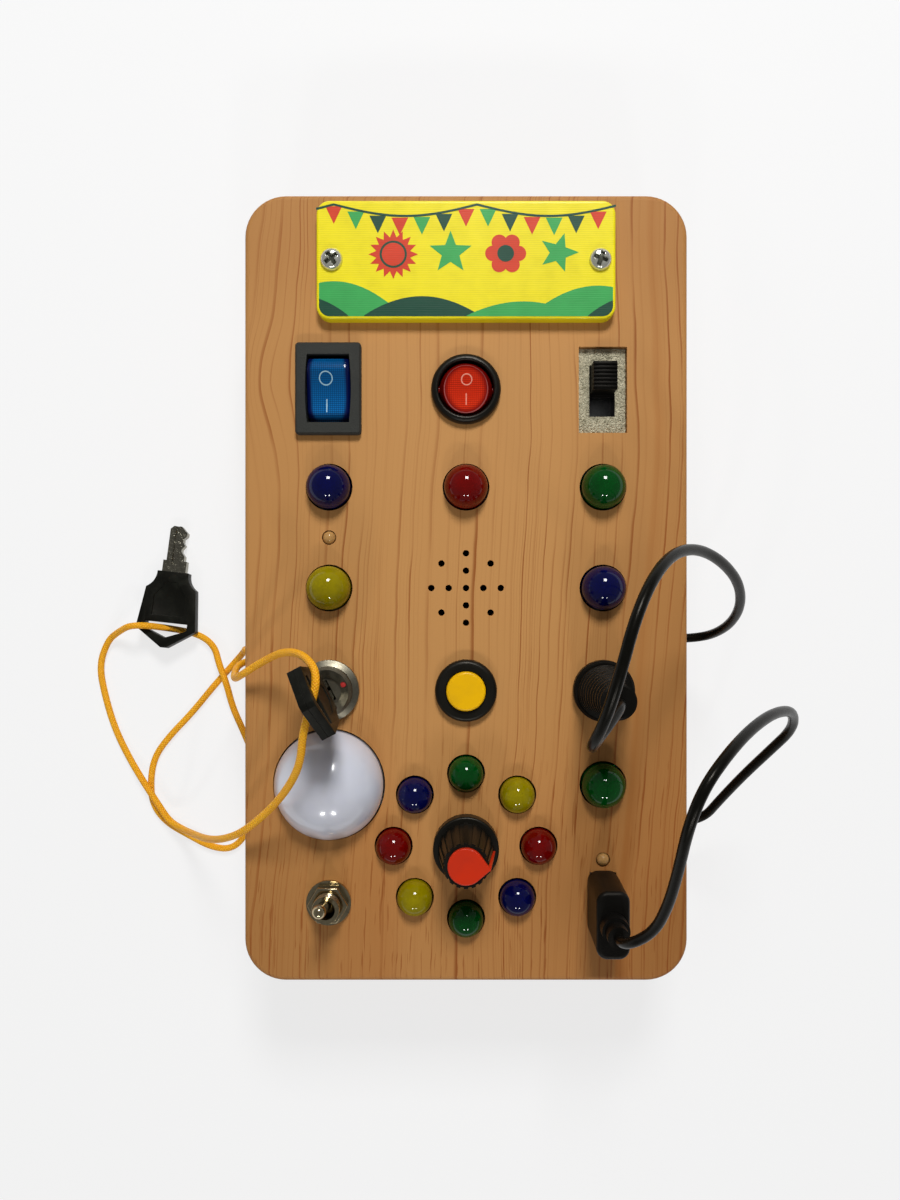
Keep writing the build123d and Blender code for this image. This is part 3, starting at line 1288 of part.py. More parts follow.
with BuildPart() as knob_body:
    post(KNOB_SKIRT_RADIUS, SKIRT_BOTTOM, SKIRT_TOP, [KNOB])
    fillet(knob_body.edges().group_by(Axis.Z)[-1], KNOB_SKIRT_ROUND)
    for height, radius in ((SKIRT_TOP, KNOB_FOOT_RADIUS), (KNOB_TOP, KNOB_TOP_RADIUS)):
        with BuildSketch(Plane.XY.offset(height)):
            with Locations(KNOB):
                Circle(radius)
                with PolarLocations(radius, KNOB_RIBS, start_angle=180 / KNOB_RIBS):
                    Rectangle(2 * KNOB_RIB_HEIGHT, KNOB_RIB_WIDTH)
    loft(ruled=True)
    post(
        KNOB_HOLLOW_RADIUS,
        SKIRT_BOTTOM,
        SKIRT_BOTTOM + KNOB_HOLLOW_HEIGHT,
        [KNOB],
        Mode.SUBTRACT,
    )
    post(POT_SHAFT_RADIUS, SKIRT_BOTTOM, SHAFT_TOP, [KNOB], Mode.SUBTRACT)
    add(knob_cap.part, mode=Mode.SUBTRACT)
save(knob_body, "knob_body")

# ---------------------------------------------------------------- nuts of the panel parts
NUT_BOTTOM = PANEL_UNDER - PANEL_NUT_HEIGHT
with BuildPart() as panel_nuts:
    for spot in (LOCK, BUTTON):
        hex_nut(PANEL_NUT_FLATS, PANEL_THREAD_RADIUS + SLIP, NUT_BOTTOM, PANEL_UNDER, spot)
    hex_nut(POT_NUT_FLATS, POT_THREAD_RADIUS + SLIP, FACE, FACE + POT_NUT_HEIGHT, KNOB)
    post(JACK_NUT_RADIUS, FACE, FACE + JACK_NUT_HEIGHT, [JACK])
    post(JACK_THREAD_RADIUS + SLIP, FACE, FACE + JACK_NUT_HEIGHT, [JACK], Mode.SUBTRACT)
save(panel_nuts, "panel_nuts")


# ---------------------------------------------------------------- lamps
def led_solid(radius, proud, spots, overhang=LED_FLANGE_OVERHANG):
    """LED body: a flange under the panel, a straight side through it and a round dome above it."""
    for x, y in spots:
        crown = FACE + proud
        foot = PANEL_UNDER - LED_FLANGE_THICKNESS
        half = radius * math.sqrt(0.5)
        upright = Plane(origin=(x, y, 0), x_dir=(1, 0, 0), z_dir=(0, -1, 0))
        with BuildSketch(upright) as section:
            with BuildLine():
                Polyline(
                    (0, crown),
                    (0, foot),
                    (radius + overhang, foot),
                    (radius + overhang, PANEL_UNDER),
                    (radius, PANEL_UNDER),
                    (radius, crown - radius),
                )
                ThreePointArc((radius, crown - radius), (half, crown - radius + half), (0, crown))
            make_face()
        revolve(section.sketch, axis=Axis((x, y, 0), (0, 0, 1)))


with BuildPart() as blue_leds:
    led_solid(LARGE_LED, LARGE_LED_PROUD, LARGE_LED_SPOTS["blue"])
    led_solid(SMALL_LED, SMALL_LED_PROUD, SMALL_LED_SPOTS["blue"])
save(blue_leds, "blue_leds")

with BuildPart() as red_leds:
    led_solid(LARGE_LED, LARGE_LED_PROUD, LARGE_LED_SPOTS["red"])
    led_solid(SMALL_LED, SMALL_LED_PROUD, SMALL_LED_SPOTS["red"])
save(red_leds, "red_leds")

with BuildPart() as green_leds:
    led_solid(LARGE_LED, LARGE_LED_PROUD, LARGE_LED_SPOTS["green"])
    led_solid(SMALL_LED, SMALL_LED_PROUD, SMALL_LED_SPOTS["green"])
save(green_leds, "green_leds")

with BuildPart() as yellow_leds:
    led_solid(LARGE_LED, LARGE_LED_PROUD, LARGE_LED_SPOTS["yellow"])
    led_solid(SMALL_LED, SMALL_LED_PROUD, SMALL_LED_SPOTS["yellow"])
save(yellow_leds, "yellow_leds")

DOME_SPRING = FACE + DOME_COLLAR
DOME_RISE = DOME_HEIGHT - DOME_COLLAR


def dome_arc_middle(radius, rise):
    """Point halfway along the arc from the rim (radius, 0) to the crown (0, rise)."""
    sphere = (radius**2 + rise**2) / (2 * rise)
    half = math.asin(radius / sphere) / 2
    return sphere * math.sin(half), rise - sphere + sphere * math.cos(half)


with BuildPart() as lamp_dome:
    upright = Plane(origin=(*LAMP, 0), x_dir=(1, 0, 0), z_dir=(0, -1, 0))
    inner = DOME_RADIUS - DOME_WALL
    outer_mid = dome_arc_middle(DOME_RADIUS, DOME_RISE)
    inner_mid = dome_arc_middle(inner, DOME_RISE - DOME_WALL)
    with BuildSketch(upright):
        with BuildLine():
            Polyline(
                (inner, DOME_SPRING),
                (inner, DOME_FLANGE_UNDER),
                (DOME_FLANGE_RADIUS, DOME_FLANGE_UNDER),
                (DOME_FLANGE_RADIUS, PANEL_UNDER),
                (DOME_RADIUS, PANEL_UNDER),
                (DOME_RADIUS, DOME_SPRING),
            )
            ThreePointArc(
                (DOME_RADIUS, DOME_SPRING),
                (outer_mid[0], DOME_SPRING + outer_mid[1]),
                (0, DOME_SPRING + DOME_RISE),
            )
            Line((0, DOME_SPRING + DOME_RISE), (0, DOME_SPRING + DOME_RISE - DOME_WALL))
            ThreePointArc(
                (0, DOME_SPRING + DOME_RISE - DOME_WALL),
                (inner_mid[0], DOME_SPRING + inner_mid[1]),
                (inner, DOME_SPRING),
            )
        make_face()
    revolve(axis=Axis((*LAMP, 0), (0, 0, 1)))
save(lamp_dome, "lamp_dome")

with BuildPart() as lamp_base:
    post(DOME_FLANGE_RADIUS, DOME_BASE_BOTTOM, DOME_FLANGE_UNDER, [LAMP])
    post(LAMP_LED + FIT, DOME_BASE_BOTTOM, DOME_FLANGE_UNDER, [LAMP], Mode.SUBTRACT)
save(lamp_base, "lamp_base")

with BuildPart() as clear_leds:
    led_solid(CLEAR_LED, CLEAR_LED_PROUD, CLEAR_LED_SPOTS, CLEAR_FLANGE_OVERHANG)
    lamp_led_foot = DOME_BASE_BOTTOM - LED_FLANGE_THICKNESS
    post(LAMP_LED + LED_FLANGE_OVERHANG, lamp_led_foot, DOME_BASE_BOTTOM, [LAMP])
    post(LAMP_LED, DOME_BASE_BOTTOM, lamp_led_foot + LAMP_LED_HEIGHT, [LAMP])
    fillet(
        clear_leds.edges().filter_by_position(
            Axis.Z, DOME_BASE_BOTTOM + LAMP_LED, lamp_led_foot + LAMP_LED_HEIGHT + 1
        ).filter_by(GeomType.CIRCLE).filter_by(lambda edge: edge.radius > LAMP_LED - SLIP)
        .sort_by(lambda edge: (edge.center() - Vector(*LAMP, lamp_led_foot)).length)[:1],
        LAMP_LED * 0.9,
    )
save(clear_leds, "clear_leds")

# ---------------------------------------------------------------- speaker
SPEAKER_BOTTOM = PANEL_UNDER - SPEAKER_DEPTH
MAGNET_BOTTOM = SPEAKER_BOTTOM - SPEAKER_MAGNET_DEPTH
CONE_RIM_RADIUS = SPEAKER_RADIUS - SPEAKER_RIM
with BuildPart() as speaker_frame:
    post(SPEAKER_RADIUS, SPEAKER_BOTTOM, PANEL_UNDER, [SPEAKER])
    post(CONE_RIM_RADIUS, SPEAKER_BOTTOM + SPEAKER_PLATE, PANEL_UNDER, [SPEAKER], Mode.SUBTRACT)
    post(SPEAKER_MAGNET_RADIUS, MAGNET_BOTTOM, SPEAKER_BOTTOM, [SPEAKER])
    post(CONE_INNER_RADIUS, SPEAKER_BOTTOM, SPEAKER_BOTTOM + 2 * SPEAKER_PLATE, [SPEAKER])
save(speaker_frame, "speaker_frame")

CONE_RIM = PANEL_UNDER - CONE_TOP
CONE_FOOT = SPEAKER_BOTTOM + 2 * SPEAKER_PLATE
with BuildPart() as speaker_cone:
    turned(
        [
            (0, CONE_FOOT),
            (CONE_INNER_RADIUS, CONE_FOOT),
            (CONE_RIM_RADIUS, CONE_RIM - CONE_THICKNESS),
            (CONE_RIM_RADIUS, CONE_RIM),
            (CONE_INNER_RADIUS, CONE_FOOT + CONE_THICKNESS),
            (0, CONE_FOOT + CONE_DROP / 2),
        ],
        SPEAKER,
    )
save(speaker_cone, "speaker_cone")

# ---------------------------------------------------------------- jack socket and plug
JACK_BOTTOM = PANEL_UNDER - JACK_BODY_DEPTH
JACK_TOP = FACE + JACK_BUSHING_HEIGHT
GRIP_BOTTOM = FACE + GRIP_CLEAR
PIN_ROOT = GRIP_BOTTOM + GRIP_RECESS_DEPTH
PIN_TIP = PIN_ROOT - JACK_PIN_LENGTH
GRIP_TOP = FACE + GRIP_HEIGHT
with BuildPart() as jack_socket:
    block(JACK_BODY_WIDTH, JACK_BODY_LENGTH, JACK_BOTTOM, PANEL_UNDER, [JACK])
    post(JACK_THREAD_RADIUS, PANEL_UNDER, JACK_TOP, [JACK])
    post(JACK_BORE, PIN_TIP - GAP, JACK_TOP, [JACK], Mode.SUBTRACT)
save(jack_socket, "jack_socket")

with BuildPart() as jack_plug_pin:
    turned(
        [
            (0, PIN_TIP),
            (JACK_PIN_RADIUS * 0.5, PIN_TIP),
            (JACK_PIN_RADIUS * 0.92, PIN_TIP + JACK_PIN_RADIUS),
            (JACK_PIN_RADIUS * 0.6, PIN_TIP + JACK_PIN_RADIUS * 1.7),
            (JACK_PIN_RADIUS, PIN_TIP + JACK_PIN_RADIUS * 2.1),
            (JACK_PIN_RADIUS, PIN_ROOT),
            (JACK_PIN_ROOT_RADIUS, PIN_ROOT),
            (JACK_PIN_ROOT_RADIUS, PIN_ROOT + JACK_PIN_ROOT_LENGTH),
            (0, PIN_ROOT + JACK_PIN_ROOT_LENGTH),
        ],
        JACK,
    )
save(jack_plug_pin, "jack_plug_pin")

RIB_FOOT = GRIP_BOTTOM + GRIP_BASE_HEIGHT
RIB_PITCH = (GRIP_TOP - RIB_FOOT) / (GRIP_RIBS + 1)
grip_side = []
for rib in range(GRIP_RIBS + 1):
    share = rib / GRIP_RIBS
    rib_radius = GRIP_FOOT_RADIUS + (GRIP_TOP_RADIUS - GRIP_FOOT_RADIUS) * share
    rib_start = RIB_FOOT + rib * RIB_PITCH
    grip_side += [
        (rib_radius - GRIP_RIB_DEPTH, rib_start),
        (rib_radius - GRIP_RIB_DEPTH, rib_start + RIB_PITCH * 0.35),
        (rib_radius, rib_start + RIB_PITCH * 0.45),
        (rib_radius, rib_start + RIB_PITCH * 0.9),
    ]
with BuildPart() as jack_plug_grip:
    turned(
        [
            (0, GRIP_BOTTOM),
            (GRIP_BASE_RADIUS, GRIP_BOTTOM),
            (GRIP_BASE_RADIUS, RIB_FOOT - GRIP_RIB_DEPTH),
            (GRIP_BASE_RADIUS - GRIP_RIB_DEPTH, RIB_FOOT),
            *grip_side,
            (GRIP_TOP_RADIUS - GRIP_RIB_DEPTH, GRIP_TOP),
            (0, GRIP_TOP),
        ],
        JACK,
    )
    post(GRIP_RECESS_RADIUS, GRIP_BOTTOM, PIN_ROOT, [JACK], Mode.SUBTRACT)
    add(jack_plug_pin.part, mode=Mode.SUBTRACT)
save(jack_plug_grip, "jack_plug_grip")

# ---------------------------------------------------------------- USB-style socket and plug
USB_SOCKET_TOP = FACE - USB_SOCKET_SUNK
USB_SOCKET_BOTTOM = FACE - USB_SOCKET_DEPTH
USB_PLUG_BOTTOM = FACE + GRIP_CLEAR
USB_SHELL_TIP = USB_PLUG_BOTTOM - USB_INSERTED
USB_INSIDE_THICK = USB_SHELL_THICK - 2 * USB_SHELL_WALL
USB_INSIDE_WIDE = USB_SHELL_WIDE - 2 * USB_SHELL_WALL
USB_BODY_TOP = USB_PLUG_BOTTOM + USB_BODY_HEIGHT
TONGUE_X = USB[0] - USB_INSIDE_THICK / 2 + FIT + USB_TONGUE_THICKNESS / 2
BLOCK_X = USB[0] + USB_INSIDE_THICK / 2 - USB_BLOCK_THICKNESS / 2
with BuildPart() as usb_socket:
    block(USB_SOCKET_THICK, USB_SOCKET_WIDE, USB_SOCKET_BOTTOM, USB_SOCKET_TOP, [USB])
    block(
        USB_FLANGE_WIDTH,
        USB_FLANGE_LENGTH,
        PANEL_UNDER - USB_FLANGE_THICKNESS,
        PANEL_UNDER,
        [USB],
    )
    block(
        USB_SHELL_THICK + 2 * USB_SOCKET_PLAY,
        USB_SHELL_WIDE + 2 * USB_SOCKET_PLAY,
        USB_SOCKET_BOTTOM + USB_SOCKET_FLOOR,
        USB_SOCKET_TOP,
        [USB],
        mode=Mode.SUBTRACT,
    )
    block(
        USB_TONGUE_THICKNESS,
        USB_TONGUE_WIDTH,
        USB_SOCKET_BOTTOM + USB_SOCKET_FLOOR,
        USB_SOCKET_TOP - USB_TONGUE_SHORT,
        [(TONGUE_X, USB[1])],
    )
save(usb_socket, "usb_socket")

with BuildPart() as usb_plug_shell:
    shell_top = USB_PLUG_BOTTOM + USB_ROOT_LENGTH
    block(USB_SHELL_THICK, USB_SHELL_WIDE, USB_SHELL_TIP, shell_top, [USB])
    block(
        USB_INSIDE_THICK, USB_INSIDE_WIDE, USB_SHELL_TIP, shell_top, [USB], mode=Mode.SUBTRACT
    )
save(usb_plug_shell, "usb_plug_shell")

with BuildPart() as usb_plug_body:
    block(
        USB_BODY_THICK, USB_BODY_WIDE, USB_PLUG_BOTTOM, USB_BODY_TOP, [USB], USB_BODY_CORNER
    )
    fillet(usb_plug_body.edges().group_by(Axis.Z)[-1], USB_BODY_EDGE)
    post(USB_COLLAR_RADIUS, USB_BODY_TOP, USB_BODY_TOP + USB_COLLAR_HEIGHT, [USB])
    neck_top = USB_BODY_TOP + USB_COLLAR_HEIGHT + USB_NECK_HEIGHT
    post(USB_NECK_RADIUS, USB_BODY_TOP + USB_COLLAR_HEIGHT, neck_top, [USB])
    block(
        USB_BLOCK_THICKNESS,
        USB_INSIDE_WIDE,
        USB_SHELL_TIP + GAP,
        USB_PLUG_BOTTOM,
        [(BLOCK_X, USB[1])],
    )
    add(usb_plug_shell.part, mode=Mode.SUBTRACT)
save(usb_plug_body, "usb_plug_body")

# ---------------------------------------------------------------- side fittings
with BuildPart() as cable_grommets:
    for row in GROMMET_ROWS:
        outside = BOARD_WIDTH / 2
        side_bore(GROMMET_RADIUS, row, SIDE_HOLE_HEIGHT, INNER_WALL, outside, Mode.ADD)
        side_bore(
            GROMMET_FLANGE_RADIUS,
            row,
            SIDE_HOLE_HEIGHT,
            outside,
            outside + GROMMET_FLANGE,
            Mode.ADD,
        )
        side_bore(
            CABLE_RADIUS + SLIP, row, SIDE_HOLE_HEIGHT, INNER_WALL, outside + GROMMET_FLANGE
        )
save(cable_grommets, "cable_grommets")

EYELET_MOUTH = -BOARD_WIDTH / 2 - EYELET_FLANGE
with BuildPart() as cord_eyelet:
    side_bore(
        EYELET_RADIUS, CORD_ROW, SIDE_HOLE_HEIGHT, -BOARD_WIDTH / 2, -INNER_WALL, Mode.ADD
    )
    side_bore(
        EYELET_FLANGE_RADIUS,
        CORD_ROW,
        SIDE_HOLE_HEIGHT,
        EYELET_MOUTH,
        -BOARD_WIDTH / 2,
        Mode.ADD,
    )
    side_bore(EYELET_BORE, CORD_ROW, SIDE_HOLE_HEIGHT, EYELET_MOUTH, -INNER_WALL)
save(cord_eyelet, "cord_eyelet")

CORD_ROWS = [CORD_ROW - CORD_SPACING / 2, CORD_ROW + CORD_SPACING / 2]
KNOT_X = -INNER_WALL + KNOT_REACH
with BuildPart() as cord_knot:
    for row in CORD_ROWS:
        side_bore(CORD_RADIUS, row, SIDE_HOLE_HEIGHT, EYELET_MOUTH, KNOT_X, Mode.ADD)
    with Locations((KNOT_X, CORD_ROW, SIDE_HOLE_HEIGHT)):
        Sphere(KNOT_RADIUS)
save(cord_knot, "cord_knot")

# ---------------------------------------------------------------- circuit board
BOARD_PLATE_LENGTH = CAVITY_LENGTH - 2 * BOARD_PLATE_MARGIN
SPACER_SPOTS = [
    (
        side * (BOARD_PLATE_WIDTH / 2 - SPACER_INSET),
        CAVITY_MIDDLE + end * (BOARD_PLATE_LENGTH / 2 - SPACER_INSET),
    )
    for side in (-1, 1)
    for end in (-1, 1)
]
with BuildPart() as circuit_board:
    block(
        BOARD_PLATE_WIDTH,
        BOARD_PLATE_LENGTH,
        PLATE_BOTTOM,
        PLATE_TOP,
        [(0, CAVITY_MIDDLE)],
        CAVITY_CORNER / 2,
    )
    post(SPACER_NECK_RADIUS + SLIP, PLATE_BOTTOM, PLATE_TOP, SPACER_SPOTS, Mode.SUBTRACT)
save(circuit_board, "circuit_board")

with BuildPart() as board_spacers:
    post(SPACER_FOOT_RADIUS, CASE_BOTTOM, CASE_BOTTOM + SPACER_FOOT_HEIGHT, SPACER_SPOTS)
    post(SPACER_RADIUS, CASE_BOTTOM + SPACER_FOOT_HEIGHT, PLATE_BOTTOM, SPACER_SPOTS)
    post(SPACER_NECK_RADIUS, PLATE_BOTTOM, PLATE_TOP, SPACER_SPOTS)
    post(SPACER_HEAD_RADIUS, PLATE_TOP, PLATE_TOP + SPACER_HEAD_HEIGHT, SPACER_SPOTS)
save(board_spacers, "board_spacers")

with BuildPart() as circuit_components:
    chip_column = COLUMN / 2
    chip_row = (UPPER_LED_ROW + UPPER_CLEAR_ROW) / 2
    block(8, 14, PLATE_TOP, PLATE_TOP + CHIP_HEIGHT, [(-chip_column, chip_row)])
    block(9, 9, PLATE_TOP, PLATE_TOP + CHIP_HEIGHT / 2, [(chip_column, chip_row)])
    post(
        CAPACITOR_RADIUS,
        PLATE_TOP,
        PLATE_TOP + CAPACITOR_HEIGHT,
        [(-chip_column, CONTROL_ROW / 2), (chip_column, CONTROL_ROW / 2)],
    )
    block(
        3.2,
        1.6,
        PLATE_TOP,
        PLATE_TOP + RESISTOR_HEIGHT,
        [(side * chip_column, CONTROL_ROW + step) for side in (-1, 1) for step in (-4, 0, 4)],
    )
save(circuit_components, "circuit_components")


# ---------------------------------------------------------------- terminals, leads and wires
def row_of(spot, *offsets):
    """Spots in a line along Y beside a part's centre."""
    return [(spot[0], spot[1] + offset) for offset in offsets]


# each switch: underside of its body, its terminals' spots and their width
TERMINALS = [
    (ROCKER_BOTTOM, row_of(BLUE_ROCKER, -7, 0, 7), 4.8),
    (RING_BOTTOM, row_of(RED_ROCKER, -4.5, 0, 4.5), 3.2),
    (SLIDE_BODY_BOTTOM, row_of(SLIDE, -4, 0, 4), 1.6),
    (BUTTON_BOTTOM, row_of(BUTTON, -3, 3), 1.6),
    (LOCK_BOTTOM, row_of(LOCK, -3, 3), 1.6),
    (TOGGLE_BOTTOM, row_of(TOGGLE, -4.7, 0, 4.7), 2.0),
    (POT_BOTTOM, row_of(KNOB, -5, 0, 5), 1.6),
    (JACK_BOTTOM, row_of(JACK, -3, 3), 1.6),
    (USB_SOCKET_BOTTOM, row_of(USB, -3, 3), 1.2),
]


def terminal_end(body_bottom):
    """Lower end of a terminal: its full length, or most of the way to the circuit board."""
    return max(body_bottom - TERMINAL_LENGTH, (body_bottom + PLATE_TOP) / 2)


with BuildPart() as switch_terminals:
    for body_bottom, spots, width in TERMINALS:
        block(width, TERMINAL_THICKNESS, terminal_end(body_bottom), body_bottom, spots)
save(switch_terminals, "switch_terminals")

LED_FOOT = PANEL_UNDER - LED_FLANGE_THICKNESS
LEAD_OFFSETS = [-LEAD_SPACING / 2, LEAD_SPACING / 2]
with BuildPart() as leads_and_wires:
    panel_leds = ALL_LARGE_LEDS + ALL_SMALL_LEDS
    lead_spots = [(x + offset, y) for x, y in panel_leds for offset in LEAD_OFFSETS]
    block(LEAD_WIDTH, LEAD_WIDTH, PLATE_TOP, LED_FOOT, lead_spots)
    clear_offsets = [offset / 2 for offset in LEAD_OFFSETS]
    clear_spots = [(x + offset, y) for x, y in CLEAR_LED_SPOTS for offset in clear_offsets]
    block(LEAD_WIDTH, LEAD_WIDTH, PLATE_TOP, LED_FOOT, clear_spots)
    lamp_leads = [(LAMP[0] + offset, LAMP[1]) for offset in LEAD_OFFSETS]
    block(LEAD_WIDTH, LEAD_WIDTH, PLATE_TOP, DOME_BASE_BOTTOM - LED_FLANGE_THICKNESS, lamp_leads)
    for body_bottom, spots, width in TERMINALS:
        post(WIRE_RADIUS, PLATE_TOP, terminal_end(body_bottom), spots)
    speaker_wires = [(side * (SPEAKER_RADIUS - SPEAKER_RIM), SPEAKER_ROW) for side in (-1, 1)]
    post(WIRE_RADIUS, PLATE_TOP, SPEAKER_BOTTOM, speaker_wires)
    battery_wire_height = SIDE_HOLE_HEIGHT + HOLDER_HEIGHT / 2
    for side in (-1, 1):
        wire_x = BATTERY_WIRE_COLUMN + side * BATTERY_WIRE_SPACING / 2
        start_y = SIGN_ROW - HOLDER_LENGTH / 2
        with BuildLine() as route:
            FilletPolyline(
                (wire_x, start_y, battery_wire_height),
                (wire_x, start_y - BATTERY_WIRE_DROP, battery_wire_height),
                (wire_x, start_y - BATTERY_WIRE_DROP, PLATE_TOP),
                radius=BATTERY_WIRE_BEND,
            )
        with BuildSketch(route.line ^ 0) as section:
            Circle(WIRE_RADIUS)
        sweep(section.sketch, path=route.line)
    for row in GROMMET_ROWS:
        mouth = BOARD_WIDTH / 2 + GROMMET_FLANGE
        with BuildLine() as route:
            FilletPolyline(
                (mouth, row, SIDE_HOLE_HEIGHT),
                (mouth - CABLE_TAIL_REACH, row, SIDE_HOLE_HEIGHT),
                (mouth - CABLE_TAIL_REACH, row, PLATE_TOP),
                radius=BATTERY_WIRE_BEND,
            )
        with BuildSketch(route.line ^ 0) as section:
            Circle(CABLE_RADIUS)
        sweep(section.sketch, path=route.line)
save(leads_and_wires, "leads_and_wires")


# ---------------------------------------------------------------- free cables and key cord
def cord_solid(name, route, radius):
    """Tube along straight runs joined by the largest arcs; prints its bends and checks its volume."""
    bends = largest_bends(route)
    with BuildPart() as tube:
        with BuildLine() as line:
            FilletPolyline(*route, radius=bends)
        with BuildSketch(line.line ^ 0):
            Circle(radius)
        sweep(path=line.line)
    length = sum(edge.length for edge in line.edges())
    print(f"{name}: length {length:.1f} mm, bends {' '.join(f'{bend:.1f}' for bend in bends)}")
    print(f"  volume {tube.part.volume:.1f}, section x length {math.pi * radius**2 * length:.1f}")
    save(tube, name)


GROMMET_MOUTH = BOARD_WIDTH / 2 + GROMMET_FLANGE
JACK_CABLE_ROUTE = [
    (*JACK, GRIP_TOP),
    (*JACK, 63.5),
    (29.6, -25.2, 71.5),
    (24.4, -27.6, 79.4),
    (23.8, -22.8, 86.6),
    (26.2, -14.2, 91.6),
    (28.8, -5.0, 92.6),
    (32.9, 2.4, 88.0),
    (38.6, 6.8, 79.2),
    (45.4, 7.6, 69.8),
    (52.6, 5.0, 60.6),
    (58.6, 0.6, 50.6),
    (61.8, -4.8, 39.6),
    (61.6, -9.6, 28.4),
    (58.2, GROMMET_ROWS[0], SIDE_HOLE_HEIGHT),
    (GROMMET_MOUTH, GROMMET_ROWS[0], SIDE_HOLE_HEIGHT),
]
USB_CABLE_ROUTE = [
    (*USB, USB_BODY_TOP + USB_COLLAR_HEIGHT + USB_NECK_HEIGHT),
    (*USB, 62.6),
    (36.6, -67.6, 68.0),
    (38.4, -60.2, 73.6),
    (39.0, -51.2, 80.0),
    (39.2, -42.4, 86.2),
    (41.4, -34.8, 88.6),
    (46.8, -29.4, 84.6),
    (53.6, -26.2, 75.8),
    (61.2, -24.6, 65.4),
    (68.4, -25.6, 55.0),
    (71.4, -30.6, 46.4),
    (68.6, -36.6, 39.2),
    (65.0, -43.4, 31.8),
    (61.6, -50.6, 24.4),
    (58.2, GROMMET_ROWS[1], SIDE_HOLE_HEIGHT),
    (GROMMET_MOUTH, GROMMET_ROWS[1], SIDE_HOLE_HEIGHT),
]
KEY_CORD_ROUTE = [
    (EYELET_MOUTH, CORD_ROWS[0], SIDE_HOLE_HEIGHT),
    (-54.4, CORD_ROWS[0], SIDE_HOLE_HEIGHT),
    (-56.0, -19.2, 21.4),
    (-55.0, -20.6, 28.0),
    (-53.4, -21.0, 34.2),
    (-50.6, -19.6, 39.6),
    (-45.4, -16.4, 42.2),
    (-39.4, -13.6, 47.8),
    (-33.6, -14.0, 55.0),
    (-29.8, -18.2, 60.4),
    (-33.2, -28.8, 60.4),
    (-34.4, -36.6, 56.0),
    (-38.4, -43.4, 50.6),
    (-43.8, -49.4, 45.4),
    (-50.2, -54.8, 41.4),
    (-56.8, -58.6, 35.8),
    (-61.2, -61.2, 26.0),
    (-64.8, -63.2, 14.4),
    (-70.2, -64.4, 5.0),
    (-76.6, -62.4, 2.95),
    (-81.0, -57.2, 2.95),
    (-84.8, -51.6, 2.6),
    (-89.4, -45.2, 0.95),
    (-93.2, -37.4, 0.95),
    (-95.8, -28.8, 0.95),
    (-97.4, -20.6, 0.95),
    (-95.0, -14.0, 1.4),
    (-91.6, -11.6, 3.4),
    (-85.8, -9.2, 8.8),
    (-76.2, -11.0, 0.95),
    (-70.2, -12.6, 0.95),
    (-66.6, -15.6, 1.3),
    (-65.0, -20.0, 3.3),
    (-63.0, -25.2, 3.3),
    (-62.0, -31.6, 0.95),
    (-59.2, -37.8, 0.95),
    (-56.4, -44.4, 0.95),
    (-55.6, -51.6, 0.95),
    (-56.2, -58.8, 0.95),
    (-58.4, -65.6, 0.95),
    (-62.2, -69.4, 0.95),
    (-67.6, -68.8, 0.95),
    (-73.6, -65.6, 0.95),
    (-79.6, -62.2, 0.95),
    (-83.2, -57.4, 0.95),
    (-83.8, -51.4, 0.95),
    (-82.8, -45.0, 0.95),
    (-79.0, -39.6, 0.95),
    (-72.8, -33.2, 0.95),
    (-66.8, -25.8, 0.95),
    (-61.0, -19.4, 1.2),
    (-57.6, -16.2, 5.2),
    (-56.4, -15.6, 11.0),
    (-54.8, CORD_ROWS[1], SIDE_HOLE_HEIGHT),
    (EYELET_MOUTH, CORD_ROWS[1], SIDE_HOLE_HEIGHT),
]
cord_solid("jack_cable", JACK_CABLE_ROUTE, CABLE_RADIUS)
cord_solid("usb_cable", USB_CABLE_ROUTE, CABLE_RADIUS)
cord_solid("key_cord", KEY_CORD_ROUTE, CORD_RADIUS)
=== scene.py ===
"""Wooden busy board: finishes, cords, printed sign, small details and the stage."""

import json
import math

import bmesh
import bpy
from mathutils import Matrix, Vector
from mathutils.bvhtree import BVHTree


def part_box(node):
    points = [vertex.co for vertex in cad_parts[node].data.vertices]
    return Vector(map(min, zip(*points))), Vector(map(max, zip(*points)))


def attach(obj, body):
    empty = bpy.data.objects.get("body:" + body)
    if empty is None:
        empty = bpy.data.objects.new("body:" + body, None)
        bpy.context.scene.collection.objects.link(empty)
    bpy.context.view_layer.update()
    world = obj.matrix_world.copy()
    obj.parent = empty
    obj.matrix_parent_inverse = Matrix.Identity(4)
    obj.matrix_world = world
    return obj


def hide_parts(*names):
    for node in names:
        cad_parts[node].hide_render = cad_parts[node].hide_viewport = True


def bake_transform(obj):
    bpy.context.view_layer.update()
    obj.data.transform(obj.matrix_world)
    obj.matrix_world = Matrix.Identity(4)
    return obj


bl_info = {
    "name": "Wooden busy board",
    "version": (1, 0, 0),
    "blender": (4, 5, 0),
    "location": "3D View > Sidebar > Busy board",
    "description": "Dresses the busy board's packed model and sets its stage",
    "category": "Add Mesh",
}

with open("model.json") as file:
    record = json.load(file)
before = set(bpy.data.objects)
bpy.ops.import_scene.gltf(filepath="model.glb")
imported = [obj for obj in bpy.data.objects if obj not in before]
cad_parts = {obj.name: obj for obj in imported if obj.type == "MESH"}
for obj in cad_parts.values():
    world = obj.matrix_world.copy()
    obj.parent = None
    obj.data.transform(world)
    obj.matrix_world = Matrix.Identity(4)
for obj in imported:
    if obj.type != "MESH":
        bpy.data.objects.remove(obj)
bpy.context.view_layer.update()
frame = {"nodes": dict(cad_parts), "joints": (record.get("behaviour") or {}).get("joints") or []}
MM = 0.001

